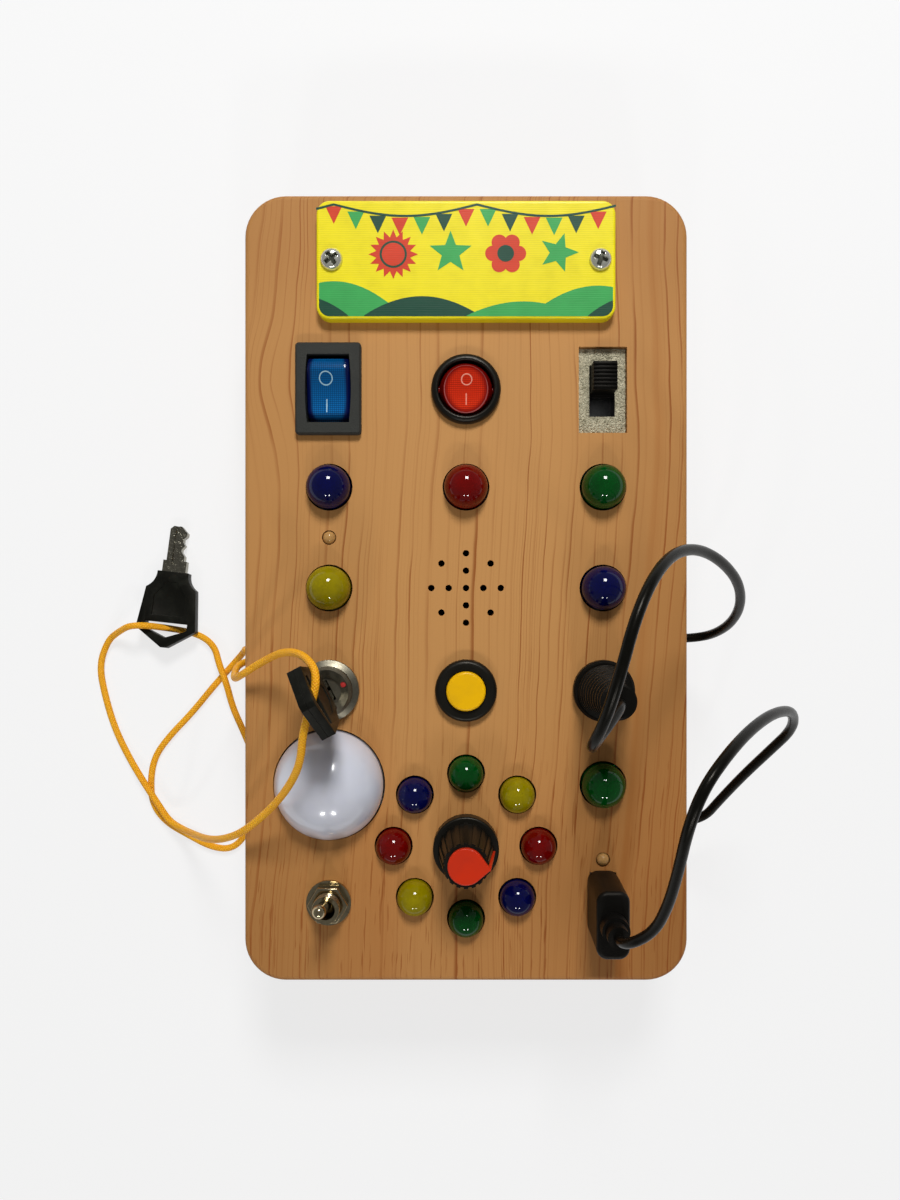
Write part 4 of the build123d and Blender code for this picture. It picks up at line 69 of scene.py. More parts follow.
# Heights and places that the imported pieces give, in metres
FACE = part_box("wood_case")[1].z
LID_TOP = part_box("battery_lid")[1].z
ROCKER_PIVOTS = {
    joint["name"]: Vector(joint["pos_m"])
    for joint in frame["joints"]
    if joint["name"] in ("rocker_tilt", "round_rocker_tilt")
}
ROCKER_TILT = math.radians(10)


def middle_of(node):
    """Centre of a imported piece's box."""
    low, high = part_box(node)
    return (low + high) / 2


def metres(*points):
    """Points in metres, from points in mm."""
    return [tuple(round(value * MM, 7) for value in point) for point in points]


# Routes of the free cords, from where each leaves the case
JACK_CABLE_ROUTE = metres(
    (52, -12.5, 17.5), (58.2, -12.5, 17.5), (61.6, -9.6, 28.4), (61.8, -4.8, 39.6),
    (58.6, 0.6, 50.6), (52.6, 5, 60.6), (45.4, 7.6, 69.8), (38.6, 6.8, 79.2), (32.9, 2.4, 88),
    (28.8, -5, 92.6), (26.4, -14.2, 92.2), (24.4, -23.2, 87.8), (22.6, -29, 82),
    (24.2, -29.4, 74.8), (28.8, -25.8, 67.4), (31.5, -23.5, 62.2), (31.5, -23.5, 58),
)
USB_CABLE_ROUTE = metres(
    (52, -58, 17.5), (58.2, -58, 17.5), (61.6, -50.6, 24.4), (65, -43.4, 31.8),
    (68.6, -36.6, 39.2), (71.4, -30.6, 46.4), (68.4, -25.6, 55), (61.2, -24.6, 65.4),
    (53.6, -26.2, 75.8), (46.8, -29.4, 84.6), (41.4, -34.8, 88.6), (39.2, -42.4, 86.2),
    (39, -51.2, 80), (38.4, -60.2, 73.6), (36.6, -67.6, 68), (31.5, -72.2, 62.6),
    (31.5, -72.2, 58),
)
KEY_CORD_ROUTE = metres(
    (-51.8, -18, 17.5), (-54.4, -18, 17.5), (-56, -19.2, 21.4), (-55, -20.6, 28),
    (-53.4, -21, 34.2), (-50.6, -19.6, 39.6), (-45.4, -16.4, 42.2), (-39.4, -13.6, 47.8),
    (-33.6, -14, 55), (-29.8, -18.2, 60.4), (-33.2, -28.8, 60.4), (-34.4, -36.6, 56),
    (-38.4, -43.4, 50.6), (-43.8, -49.4, 45.4), (-50.2, -54.8, 41.4), (-56.2, -57.7, 35.8),
    (-62.2, -60.2, 25.6), (-68, -62.2, 14.2), (-74, -63, 5.2), (-78.2, -61.4, 2.95),
    (-81, -57.2, 2.95), (-84.8, -51.6, 2.6), (-89.4, -45.2, 0.95), (-93.2, -37.4, 0.95),
    (-95.8, -28.8, 0.95), (-97.4, -20.6, 0.95), (-95, -14, 1.4), (-91.6, -11.6, 3.4),
    (-85.8, -9.2, 8.8), (-76.2, -11, 0.95), (-70.2, -12.6, 0.95), (-66.6, -15.6, 1.3),
    (-65, -20, 3.3), (-63, -25.2, 3.3), (-62, -31.6, 0.95), (-59.2, -37.8, 0.95),
    (-56.4, -44.4, 0.95), (-55.6, -51.6, 0.95), (-56.2, -58.8, 0.95), (-58.4, -65.6, 0.95),
    (-62.2, -69.4, 0.95), (-67.6, -68.8, 0.95), (-73.6, -65.6, 0.95), (-79.6, -62.2, 0.95),
    (-83.2, -57.4, 0.95), (-83.8, -51.4, 0.95), (-82.8, -45, 0.95), (-79, -39.6, 0.95),
    (-72.8, -33.2, 0.95), (-66.8, -25.8, 0.95), (-61, -19.4, 1.2), (-57.6, -16.2, 5.2),
    (-56.4, -15.6, 11), (-54.8, -16, 17.5), (-51.8, -16, 17.5),
)


# ---------------------------------------------------------------- sizes and colours
def linear(red, green, blue):
    """Linear colour from values of 0 to 255 on a display."""
    return tuple(
        ((value / 255 + 0.055) / 1.055) ** 2.4 if value > 10 else value / 255 / 12.92
        for value in (red, green, blue)
    )


def colour(name, red, green, blue, description):
    """Colour property with its default as a display shows it."""
    return bpy.props.FloatVectorProperty(
        name=name,
        description=description,
        subtype="COLOR",
        size=3,
        min=0,
        max=1,
        default=linear(red, green, blue),
    )


def length(name, millimetres, description):
    """Length property with its default in millimetres."""
    return bpy.props.FloatProperty(
        name=name,
        description=description,
        subtype="DISTANCE",
        unit="LENGTH",
        precision=5,
        min=0,
        default=millimetres * MM,
    )


class BoardColours(bpy.types.PropertyGroup):
    """Colours of the board's finishes."""

    wood: colour("Wood", 194, 141, 82, "Pale early wood of the case")
    wood_line: colour("Wood lines", 144, 80, 30, "Dark late wood, the thin lines of the grain")
    wood_flush: colour("Wood flush", 172, 106, 48, "Redder streaks in the wood")
    # Painted shade: the tone that the wood's colour is darkened to along its edges and ends
    wood_edge_shade: colour("Wood, edge shade", 150, 98, 46, "Tone that the wood darkens to along its edges")
    sign: colour("Sign", 244, 227, 14, "Yellow ground of the sign")
    sign_leaf: colour("Sign green", 60, 168, 84, "Light green of the sign's print")
    sign_forest: colour("Sign dark green", 18, 72, 52, "Dark green of the sign's print")
    sign_flame: colour("Sign orange", 214, 62, 30, "Orange-red accents of the sign's print")
    blue_rocker: colour("Blue rocker", 2, 84, 142, "Clear blue plastic of the rocker")
    red_rocker: colour("Red rocker", 218, 46, 14, "Clear red plastic of the round rocker")
    button: colour("Button", 240, 184, 0, "Yellow cap of the push button")
    pointer: colour("Pointer", 206, 46, 12, "Cap and pointer of the knob")
    cord: colour("Key cord", 255, 194, 28, "Satin cord of the keys")
    blue_lamp: colour("Blue lamps", 3, 6, 64, "Blue lamp plastic")
    red_lamp: colour("Red lamps", 108, 3, 1, "Red lamp plastic")
    green_lamp: colour("Green lamps", 0, 70, 18, "Green lamp plastic")
    yellow_lamp: colour("Yellow lamps", 146, 132, 0, "Yellow lamp plastic")
    dome: colour("Dome", 219, 223, 238, "Milky plastic of the big dome")
    backdrop: colour("Backdrop", 248, 248, 248, "Floor and backdrop")


class BoardSizes(bpy.types.PropertyGroup):
    """Sizes of the pieces that are made here."""

    cable: length("Cable", 2.2, "Diameter of the two plug cables")
    cord: length("Key cord", 1.7, "Diameter of the key cord")
    print_height: length("Print height", 0.09, "How far the sign's print stands proud")
    mark_height: length("Mark height", 0.04, "How far the switches' marks stand proud")
    camera_height: length("Camera height", 255.0, "Height of the camera above the table")
    key_light: bpy.props.FloatProperty(
        name="Key light",
        description="Power of the large lamp at the sign's end",
        subtype="POWER",
        unit="POWER",
        min=0,
        default=5.05,
    )
    side_light: bpy.props.FloatProperty(
        name="Side light",
        description="Strength of the world light from the sides",
        min=0,
        default=0.23,
    )
    top_light: bpy.props.FloatProperty(
        name="Top light",
        description="Strength of the world light from overhead",
        min=0,
        default=0.17,
    )


# ---------------------------------------------------------------- finishes
def sum_of(operation, swapped=False):
    """Method of Field for one Math node; swapped puts the field's own value last."""

    def method(self, *others):
        values = (*others, self) if swapped else (self, *others)
        settings = {"operation": operation}
        return self.finish.node("ShaderNodeMath", settings, dict(enumerate(values)))

    return method


class Field:
    """A shader value: used in an expression, it adds the nodes that work the expression out."""

    def __init__(self, finish, socket):
        self.finish = finish
        self.socket = socket

    __add__ = __radd__ = sum_of("ADD")
    __sub__ = sum_of("SUBTRACT")
    __rsub__ = sum_of("SUBTRACT", swapped=True)
    __mul__ = __rmul__ = sum_of("MULTIPLY")
    __truediv__ = sum_of("DIVIDE")
    __pow__ = sum_of("POWER")
    __abs__ = sum_of("ABSOLUTE")
    wave, root = sum_of("SINE"), sum_of("SQRT")
    whole, part = sum_of("FLOOR"), sum_of("FRACT")

    def rise(self, low, high):
        """Smooth step from 0 at low to 1 at high."""
        return self.finish.node(
            "ShaderNodeMapRange",
            {"interpolation_type": "SMOOTHSTEP"},
            {"Value": self, "From Min": low, "From Max": high},
        )


class Web:
    """Nodes of a material or a world, added by one method."""

    def __init__(self, tree):
        self.tree = tree

    def feed(self, socket, value):
        """Puts a number, a colour or another node's output into a socket."""
        if isinstance(value, Field):
            self.tree.links.new(value.socket, socket)
        elif hasattr(value, "__len__") and len(value) < len(socket.default_value):
            socket.default_value = (*value, 1)
        else:
            socket.default_value = value

    def node(self, kind, settings=None, sockets=None, output=0):
        """Adds a node: its settings first, then its sockets; gives one of its outputs."""
        node = self.tree.nodes.new(kind)
        for key, value in (settings or {}).items():
            setattr(node, key, value)
        for key, value in (sockets or {}).items():
            self.feed(node.inputs[key], value)
        return Field(self, node.outputs[output])

    def split(self, vector):
        """The three numbers of a point."""
        node = self.tree.nodes.new("ShaderNodeSeparateXYZ")
        self.feed(node.inputs[0], vector)
        return [Field(self, output) for output in node.outputs]

    def point(self, x, y, z):
        """Point from three numbers."""
        return self.node("ShaderNodeCombineXYZ", None, {0: x, 1: y, 2: z})

    def noise(self, point, scale=1.0, detail=2.0, roughness=0.5):
        """Smooth noise of 0 to 1."""
        sockets = {"Vector": point, "Scale": scale, "Detail": detail, "Roughness": roughness}
        return self.node("ShaderNodeTexNoise", None, sockets)

    def chance(self, value):
        """Random number of 0 to 1 for each whole value."""
        settings = {"noise_dimensions": "1D"}
        return self.node("ShaderNodeTexWhiteNoise", settings, {"W": value})

    def cells(self, point, scale):
        """Distance to the nearest of many scattered points."""
        return self.node("ShaderNodeTexVoronoi", None, {"Vector": point, "Scale": scale})

    def mix(self, share, first, second):
        """Colour between two: the first where share is 0."""
        node = self.tree.nodes.new("ShaderNodeMix")
        node.data_type = "RGBA"
        self.feed(node.inputs[0], share)
        self.feed(node.inputs[6], first)
        self.feed(node.inputs[7], second)
        return Field(self, node.outputs[2])


class Finish(Web):
    """A material in the making, with the piece's own coordinates and its shader."""

    def __init__(self, name, **surface):
        self.material = bpy.data.materials.new(name)
        self.material.use_nodes = True
        super().__init__(self.material.node_tree)
        self.shader = self.tree.nodes["Principled BSDF"]
        self.coat(**surface)

    def coat(self, **surface):
        """Sets the shader's sockets by their names, with _ for a space."""
        for key, value in surface.items():
            name = key.replace("_", " ").title().replace("Ior", "IOR")
            self.feed(self.shader.inputs[name], value)

    def place(self):
        """Point on the piece, in metres."""
        return self.node("ShaderNodeTexCoord", output="Object")

    def along(self):
        """Point on a cord: along it and around it."""
        return self.node("ShaderNodeTexCoord", output="UV")

    def relief(self, height, depth, strength=1.0):
        """Bump of a height field of 0 to 1, depth metres deep."""
        sockets = {"Height": height, "Distance": depth, "Strength": strength}
        return self.node("ShaderNodeBump", None, sockets, "Normal")


FINISHES = {}


def shared(make):
    """Keeps a finish's maker under its name."""
    FINISHES[make.__name__] = make
    return make


def coating(name):
    """Material of a finish, made when first asked for: pieces of one finish share it."""
    full = "board_" + name
    return bpy.data.materials.get(full) or FINISHES[name](full).material


def shades():
    """Colours that the user has set."""
    return bpy.context.scene.board_colours


def toned(base, factors, lift=0):
    """Colour with its values scaled, by one factor or by one each, and then lifted."""
    if not hasattr(factors, "__len__"):
        factors = (factors, factors, factors)
    return tuple(value * factor + lift for value, factor in zip(base, factors))


def background_rays(web):
    """1 for rays that show the background: those of the camera, and those in metal or glass."""
    path = web.tree.nodes.new("ShaderNodeLightPath")
    names = ("Is Camera Ray", "Is Glossy Ray", "Is Transmission Ray")
    straight, mirrored, through = (Field(web, path.outputs[name]) for name in names)
    return straight, (mirrored + through).rise(0, 1)


@shared
def sawn_pine(name):
    """Solid wood with its rings around a pith along the board's length."""
    wood = Finish(name, specular_ior_level=0.2)
    # How far the pith lies to the left of the board and below it, in metres
    left, below = 0.13, 0.07
    rings_per_metre, fine_rings_per_metre = 360, 1330
    x, y, z = wood.split(wood.place())
    wander = wood.noise(wood.point(x * 12, y * 9, z * 12), 1, 1) - 0.5
    ripple = wood.noise(wood.point(x * 60, y * 46, z * 60), 1, 2) - 0.5
    knot_x, knot_y = (x + 0.047) * 90, (y - 0.047) * 44
    swerve = (knot_x * knot_x + knot_y * knot_y + 1) ** -2
    across = x - y * 0.046 + wander * 0.011 + ripple * 0.0018 + swerve * 0.0050
    from_pith = ((across + left) * (across + left) + (z + below) * (z + below)).root()
    bunching = wood.noise(wood.point(from_pith * 95, 0, 0), 1, 1)
    ring = from_pith * rings_per_metre + bunching * 4.6
    turn = ring.part()
    line = turn.rise(0.77, 0.95) * (1 - turn.rise(0.965, 1.0))
    fading = wood.noise(wood.point(ring.whole() * 7.3, y * 34, z * 34), 1, 2).rise(0.30, 0.66)
    to_right = x.rise(-0.03, 0.02) * 0.2 + 0.8
    late = line * (wood.chance(ring.whole()) ** 1.3 * 0.62 + 0.34) * (fading * 0.66 + 0.34)
    late = late * to_right
    fine_ring = from_pith * fine_rings_per_metre + bunching * 15.0
    fine_turn = fine_ring.part()
    fine_line = fine_turn.rise(0.62, 0.92) * (1 - fine_turn.rise(0.95, 1.0))
    thick_and_thin = wood.noise(wood.point(x * 34, y * 14, z * 34), 1, 2).rise(0.42, 0.66)
    fine = fine_line * wood.chance(fine_ring.whole()) * (thick_and_thin * 0.46 + 0.20)
    fibre = wood.noise(wood.point(across * 1900, y * 30, z * 1900), 1, 3, 0.6)
    dash_field = wood.noise(wood.point(across * 2100, y * 90, z * 2100), 1, 2)
    low_end = (0 - y).rise(0, 0.07)
    dashes = dash_field.rise(0.60, 0.68) * (thick_and_thin * 0.4 + low_end * 0.8).rise(0.1, 1.0)
    blush = wood.noise(wood.point(across * 42, y * 2.5, z * 42), 1, 2).rise(0.48, 0.80)
    from_heart = across - 0.0405
    heart = from_heart.rise(-0.0008, 0.0003) * (1 - from_heart.rise(0.0003, 0.0034))
    # The flush also grows towards the lower end and towards the right, so the wood is redder and
    # darker there
    flush = blush * 0.55 + heart * (thick_and_thin * 0.6 + 0.3) + low_end * 0.42 + x * 5
    ground = wood.mix(flush.rise(0, 1.2), shades().wood, shades().wood_flush)
    # Painted shade: the wood is darkened towards its sides, its lower end and its top end, where
    # less light falls on it
    edge = abs(x).rise(0.012, 0.050) * ((x * 0.6 - y + 0.03).rise(0.0, 0.07) * 0.6 + 0.4)
    foot, head = (-0.050 - y).rise(0.0, 0.03), (y - 0.055).rise(0.0, 0.025)
    light_kept = (1 - edge * 0.48) * (1 - foot * 0.16) * (1 - head * 0.26)
    ground = wood.mix(1 - light_kept, ground, shades().wood_edge_shade)
    grain = (late + fine + dashes * 0.55 + (fibre - 0.5) * 0.18).rise(-0.06, 1.0)
    wood.coat(
        base_color=wood.mix(grain, ground, shades().wood_line),
        roughness=0.50 + fibre * 0.14,
        normal=wood.relief(fibre * 0.6 + late * 0.3 - dashes * 0.4, 0.00004, 0.45),
    )
    return wood


def plastic(name, base, roughness, grain=0.00003, grain_size=2600, **surface):
    """Moulded plastic with a fine grain and a few handling marks."""
    skin = Finish(name, **surface)
    spot = skin.place()
    texture = skin.noise(spot, grain_size, 3, 0.6)
    smear = skin.noise(spot, 160, 3, 0.6)
    skin.coat(
        base_color=skin.mix(smear.rise(0.35, 0.8) * 0.5, base, toned(base, 0.72, 0.004)),
        roughness=roughness + (smear - 0.5) * 0.16,
        normal=skin.relief(texture, grain, 0.6),
    )
    return skin


def dim_shine(level=0.24):
    """Weak warm shine of black plastics."""
    return {"specular_ior_level": level, "specular_tint": (1.0, 0.93, 0.82, 1.0)}


def metal(name, base, roughness, stretch=(1, 1, 1), scratch=0.5):
    """Metal with fine wear; stretch draws its scratches out along an axis."""
    steel = Finish(name, metallic=1.0)
    x, y, z = steel.split(steel.place())
    drawn = steel.point(x * stretch[0], y * stretch[1], z * stretch[2])
    fine = steel.noise(drawn, 1800, 4, 0.65)
    blotch = steel.noise(steel.place(), 260, 3, 0.6)
    wear = (fine * 0.5 + blotch * 0.5).rise(0.35, 0.75)
    steel.coat(
        base_color=steel.mix(wear, base, toned(base, 0.62)),
        roughness=roughness + (blotch - 0.5) * 0.18,
        normal=steel.relief(fine, 0.00002, scratch),
    )
    return steel


def bow_plastic(name, middle, across):
    """Black key bow moulded in two halves: its seam runs round the plane across its thickness."""
    skin = Finish(name, **dim_shine(0.14))
    x, y, z = skin.split(skin.place())
    off = abs(x * across.x + y * across.y + z * across.z - middle.dot(across))
    seam = 1 - off.rise(0.00006, 0.00018)
    mould = skin.noise(skin.place(), 1500, 3, 0.6)
    wear = skin.noise(skin.place(), 300, 3, 0.6).rise(0.4, 0.75)
    skin.coat(
        base_color=skin.mix(wear * 0.6 - seam * 0.6, linear(13, 14, 11), linear(31, 33, 28)),
        roughness=0.34 + mould * 0.16,
        normal=skin.relief(mould * 0.25 - seam, 0.00014, 0.8),
    )
    return skin.material


@shared
def blue_clear(name):
    """Blue rocker plastic with its moulded grid under a clear skin."""
    x, y, _ = ROCKER_PIVOTS["rocker_tilt"]
    edge, middle = linear(3, 14, 62), (x, y + 0.4 * MM)
    return gridded(name, shades().blue_rocker, edge, middle, (4.4, 8.6), 4, 0.0)


@shared
def red_clear(name):
    """Red rocker plastic with its moulded grid under a clear skin."""
    x, y, _ = ROCKER_PIVOTS["round_rocker_tilt"]
    # Painted shade: outside the grid's field the paddle's sides take a dark red
    edge, middle = linear(120, 10, 4), (x, y - 0.2 * MM)
    return gridded(name, shades().red_rocker, edge, middle, (5.2, 5.6), 2, 0.34)


def gridded(name, base, edge, middle, reach, squareness, rim_share):
    """Clear tinted plastic: a field of small pyramids shows through a polished skin.

    The field is a rounded rectangle or, at a squareness of 2, an ellipse; reach is in mm.
    """
    skin = Finish(name, coat_weight=0.5, coat_roughness=0.02, specular_ior_level=0.05)
    x, y, _ = skin.split(skin.place())
    pyramid = 0.46 * MM
    step = math.pi / pyramid
    lattice = abs(((x - middle[0]) * step).wave()) * abs(((y - middle[1]) * step).wave())
    far_x = abs(x - middle[0]) / (reach[0] * MM)
    far_y = abs(y - middle[1]) / (reach[1] * MM)
    outward = far_x ** squareness + far_y ** squareness
    inside = 1 - outward.rise(0.30, 1.0)
    rim = 1 - abs(outward - 0.90).rise(0.01, 0.06)
    glow = skin.noise(skin.place(), 200, 2)
    # Painted light: the lower end of the field is painted brighter, as where light shines through
    # the clear plastic
    low_end = (middle[1] + 0.001 - y).rise(0.0, 0.008)
    lit = tuple(min(1, value) for value in toned(base, 1.9, 0.004))
    bright = skin.mix(low_end * 0.7, base, lit)
    dots = skin.mix(lattice.rise(0.05, 0.7), toned(base, 0.5), bright)
    field = skin.mix((inside * (0.75 + glow * 0.5)).rise(0, 1), edge, dots)
    skin.coat(
        base_color=skin.mix(rim * rim_share, field, toned(base, 0.5, 0.22)),
        roughness=0.2 + glow * 0.05,
        normal=skin.relief(lattice * inside, 0.00003, 0.25),
    )
    return skin


def lamp_plastic(name, base):
    """Tinted epoxy of a lamp: deep milky colour under a polished skin."""
    skin = Finish(
        name,
        subsurface_weight=0.12,
        subsurface_radius=(0.0025, 0.0025, 0.0025),
        subsurface_scale=1.0,
        specular_ior_level=0.0,
        coat_weight=0.62,
        coat_roughness=0.01,
    )
    cloud = skin.noise(skin.place(), 330, 3)
    speck = 1 - skin.cells(skin.place(), 620).rise(0.02, 0.09)
    body = skin.mix(cloud.rise(0.3, 0.7), toned(base, 0.82), base)
    skin.coat(
        base_color=skin.mix(speck * 0.35, body, toned(base, 1.3, 0.004)),
        roughness=0.16 + speck * 0.12,
    )
    return skin


@shared
def clear_epoxy(name):
    """Water-clear lamps, painted the wood's tan: the wood seen through them is painted into their
    colour.
    """
    skin = Finish(name, transmission_weight=0.25, ior=1.4, coat_weight=0.3, coat_roughness=0.03)
    cloud = skin.noise(skin.place(), 900, 2)
    # Painted view of the wood through the lens: a tan base colour with a little transmission
    skin.coat(
        base_color=skin.mix(cloud, linear(198, 144, 80), linear(224, 176, 108)),
        roughness=0.12 + cloud * 0.1,
    )
    return skin


@shared
def milky_dome(name):
    """Milky plastic that spreads the lamp's light."""
    skin = Finish(
        name,
        subsurface_weight=0.25,
        subsurface_radius=(0.004, 0.004, 0.005),
        subsurface_scale=1.0,
        coat_weight=0.6,
        coat_roughness=0.04,
    )
    haze = skin.noise(skin.place(), 90, 2)
    warm = toned(shades().dome, (0.94, 0.92, 0.9))
    skin.coat(base_color=skin.mix(haze.rise(0.3, 0.7), shades().dome, warm), roughness=0.2)
    return skin


@shared
def screw_zinc(name):
    """Bright zinc of the screws, with painted shade that darkens the cross recess."""
    steel = metal(name, linear(206, 206, 196), 0.17, scratch=0.9)
    steel.coat(metallic=0.75)
    # Painted shade: the recess layer darkens the colour where the cross recess is
    depth = steel.node("ShaderNodeAttribute", {"attribute_name": "recess"}, output="Fac")
    speck = steel.noise(steel.place(), 2600, 2)
    shade = steel.mix(speck, linear(70, 72, 62), linear(128, 130, 116))
    steel.coat(base_color=steel.mix(depth.rise(0.25, 0.8), linear(216, 216, 204), shade))
    return steel


@shared
def key_steel(name):
    """Stamped key blade."""
    blade = metal(name, linear(150, 146, 130), 0.2, (1, 0.15, 1), 1.0)
    waves = blade.noise(blade.place(), 620, 3, 0.6)
    blade.coat(normal=blade.relief(waves, 0.0003, 1.0))
    return blade


@shared
def cast_plate(name):
    """Pale cast plate of the slide switch, with its fine pebbled surface."""
    plate = Finish(name, metallic=0.2)
    spot = plate.place()
    pebble = plate.noise(spot, 2100, 2, 0.6)
    wear = plate.noise(spot, 500, 3)
    speckle = (wear * 0.4 + pebble * 0.6).rise(0.3, 0.7)
    plate.coat(
        base_color=plate.mix(speckle, linear(222, 214, 184), linear(152, 146, 118)),
        roughness=0.46 + wear * 0.1,
        normal=plate.relief(pebble, 0.0009, 1.0),
    )
    return plate


@shared
def circuit_green(name):
    """Circuit board with its tracks under green lacquer."""
    board = Finish(name, coat_weight=0.4, coat_roughness=0.15)
    x, y, _ = board.split(board.place())
    bend = board.cells(board.point(x, y, 0), 90)
    tracks = ((x * 620 + bend * 3.0).wave() * (y * 540 + bend * 2.4).wave()).rise(0.55, 0.62)
    board.coat(
        base_color=board.mix(tracks, linear(18, 84, 44), linear(46, 128, 66)),
        roughness=0.4,
        normal=board.relief(tracks, 0.00003, 0.5),
    )
    return board


@shared
def cell_jacket(name):
    """Battery jackets: green with a bright band at one end."""
    jacket = Finish(name, coat_weight=0.5, coat_roughness=0.1)
    x, _, _ = jacket.split(jacket.place())
    band = abs(x).rise(0.0150, 0.0152)
    jacket.coat(
        base_color=jacket.mix(band, linear(40, 110, 74), linear(206, 206, 200)),
        metallic=band * 0.7,
        roughness=0.3 + band * 0.1,
    )
    return jacket


def sign_paint(name, base):
    """Cured ink with the fine ridges that its printing passes leave."""
    ink = Finish(name, coat_weight=0.25, coat_roughness=0.15, specular_ior_level=0.2)
    x, y, z = ink.split(ink.place())
    waver = ink.noise(ink.point(x * 300, y * 2400, z), 1, 2)
    ridges = (y * 15000 + waver * 2.2).wave() * 0.5 + 0.5
    patch = ink.noise(ink.place(), 240, 3)
    faded = (ridges * 0.35 + patch * 0.65).rise(0.3, 0.9)
    ink.coat(
        base_color=ink.mix(faded, base, toned(base, 0.80)),
        roughness=0.36 + patch * 0.12,
        normal=ink.relief(ridges * 0.5 + waver * 0.5, 0.00004, 0.6),
    )
    return ink


@shared
def satin_cord(name):
    """Twisted satin cord: fine slanting strands."""
    cord = Finish(name, specular_ior_level=0.3)
    along, around, _ = cord.split(cord.along())
    forward, sideways = along * 9400, around * 37.70
    one_way = (forward + sideways).wave() * 0.5 + 0.5
    other_way = (forward - sideways).wave() * 0.5 + 0.5
    braid = (one_way * other_way).root()
    tone = cord.noise(cord.point(along * 130, around * 2, 0), 1, 3)
    # The braid's grooves take the deeper orange: partly random tone, partly painted shade between
    # the strands
    deep = toned(shades().cord, (0.90, 0.58, 0.20))
    light = (braid * 0.85 + tone * 0.6).rise(0.25, 0.95)
    cord.coat(
        base_color=cord.mix(light, deep, shades().cord),
        roughness=0.36 + (1 - braid) * 0.2,
        normal=cord.relief(braid, 0.00014, 0.8),
    )
    return cord


@shared
def cable_sheath(name):
    """Black cable sheath with a soft shine."""
    sheath = Finish(name, **dim_shine(0.10))
    along, around, _ = sheath.split(sheath.along())
    drawn = sheath.noise(sheath.point(along * 700, around * 6, 0), 1, 3)
    sheath.coat(
        base_color=sheath.mix(drawn, linear(9, 9, 7), linear(17, 16, 13)),
        roughness=0.22 + drawn * 0.12,
        normal=sheath.relief(drawn, 0.00002, 0.5),
    )
    return sheath


def plain(make, tone, *values, **surface):
    """Maker of a finish in one tone: its red, green and blue, or one of the user's colours."""

    def finish(name):
        base = getattr(shades(), tone) if isinstance(tone, str) else linear(*tone)
        return make(name, base, *values, **surface)

    return finish


FINISHES.update(
    # Housings, the slide's knob, plugs and feet, the rocker's frame, and what lies inside
    black_plastic=plain(plastic, (16, 15, 11), 0.38, 0.00002, **dim_shine()),
    black_gloss=plain(plastic, (15, 14, 11), 0.36, 0.00001, **dim_shine()),
    ridge_black=plain(plastic, (10, 9, 7), 0.46, 0.00001, **dim_shine(0.10)),
    grip_rubber=plain(plastic, (11, 10, 8), 0.42, 0.00009, 3000, **dim_shine(0.13)),
    frame_grey=plain(plastic, (47, 49, 47), 0.6, 0.00018, 3600, **dim_shine()),
    white_plastic=plain(plastic, (222, 222, 216), 0.35),
    chip_black=plain(plastic, (44, 44, 48), 0.5, 0.00005),
    speaker_paper=plain(plastic, (52, 50, 50), 0.85, 0.0001, 900),
    # The button's cap, the knob's pointer, the rockers' marks and the lock's dot of paint
    button_yellow=plain(plastic, "button", 0.34, 0.00001, specular_ior_level=0.25),
    pointer_orange=plain(plastic, "pointer", 0.36, 0.00002, specular_ior_level=0.25),
    mark_blue=plain(plastic, (150, 190, 205), 0.4),
    mark_red=plain(plastic, (236, 150, 128), 0.4),
    dot_red=plain(plastic, (176, 38, 34), 0.4),
    # Plated nuts and toggle, the turned lock, inner steel, terminals, leads and wires
    nickel=plain(metal, (184, 170, 138), 0.15, scratch=1.0),
    worn_steel=plain(metal, (124, 119, 104), 0.42, scratch=0.8),
    dull_steel=plain(metal, (160, 160, 160), 0.42),
    brass=plain(metal, (196, 168, 98), 0.35),
    copper_lead=plain(metal, (196, 140, 96), 0.4),
    blue_epoxy=plain(lamp_plastic, "blue_lamp"),
    red_epoxy=plain(lamp_plastic, "red_lamp"),
    green_epoxy=plain(lamp_plastic, "green_lamp"),
    yellow_epoxy=plain(lamp_plastic, "yellow_lamp"),
    sign_yellow=plain(sign_paint, "sign"),
    sign_leaf=plain(sign_paint, "sign_leaf"),
    sign_forest=plain(sign_paint, "sign_forest"),
    sign_flame=plain(sign_paint, "sign_flame"),
)


# ---------------------------------------------------------------- mesh making
def dress(**worn):
    """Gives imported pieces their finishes: each finish's name with those of its nodes."""
    for name, nodes in worn.items():
        for node in nodes.split():
            for holder in frame["nodes"][node].material_slots:
                holder.material = coating(name)


def added(name, mesh, finishes, replaced=()):
    """Puts a mesh with its finishes into the scene."""
    for number, finish in enumerate(finishes):
        if isinstance(finish, str):
            finish = coating(finish)
        if number < len(mesh.materials):
            mesh.materials[number] = finish
        else:
            mesh.materials.append(finish)
    made = bpy.data.objects.new(name, mesh)
    bpy.context.scene.collection.objects.link(made)
    if replaced:
        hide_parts(*replaced)
    return made


def piece(name, mesh, finishes, body, replaced=()):
    """Puts a mesh with its finishes into the scene, riding on its body."""
    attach(added(name, mesh, finishes, replaced), body)


def smoothed(mesh, degrees):
    """Shades a mesh smoothly, apart from edges sharper than this angle."""
    mesh.shade_smooth()
    mesh.set_sharp_from_angle(angle=math.radians(degrees))
    return mesh


def written(shape, name):
    """Writes a bmesh into a mesh and frees it."""
    mesh = bpy.data.meshes.new(name)
    shape.to_mesh(mesh)
    shape.free()
    return mesh


def finished(shape, name, smooth=40):
    """Mesh of a bmesh, with its normals outwards and its hard edges kept hard."""
    bmesh.ops.remove_doubles(shape, verts=shape.verts, dist=1e-7)
    bmesh.ops.recalc_face_normals(shape, faces=shape.faces)
    return smoothed(written(shape, name), smooth)


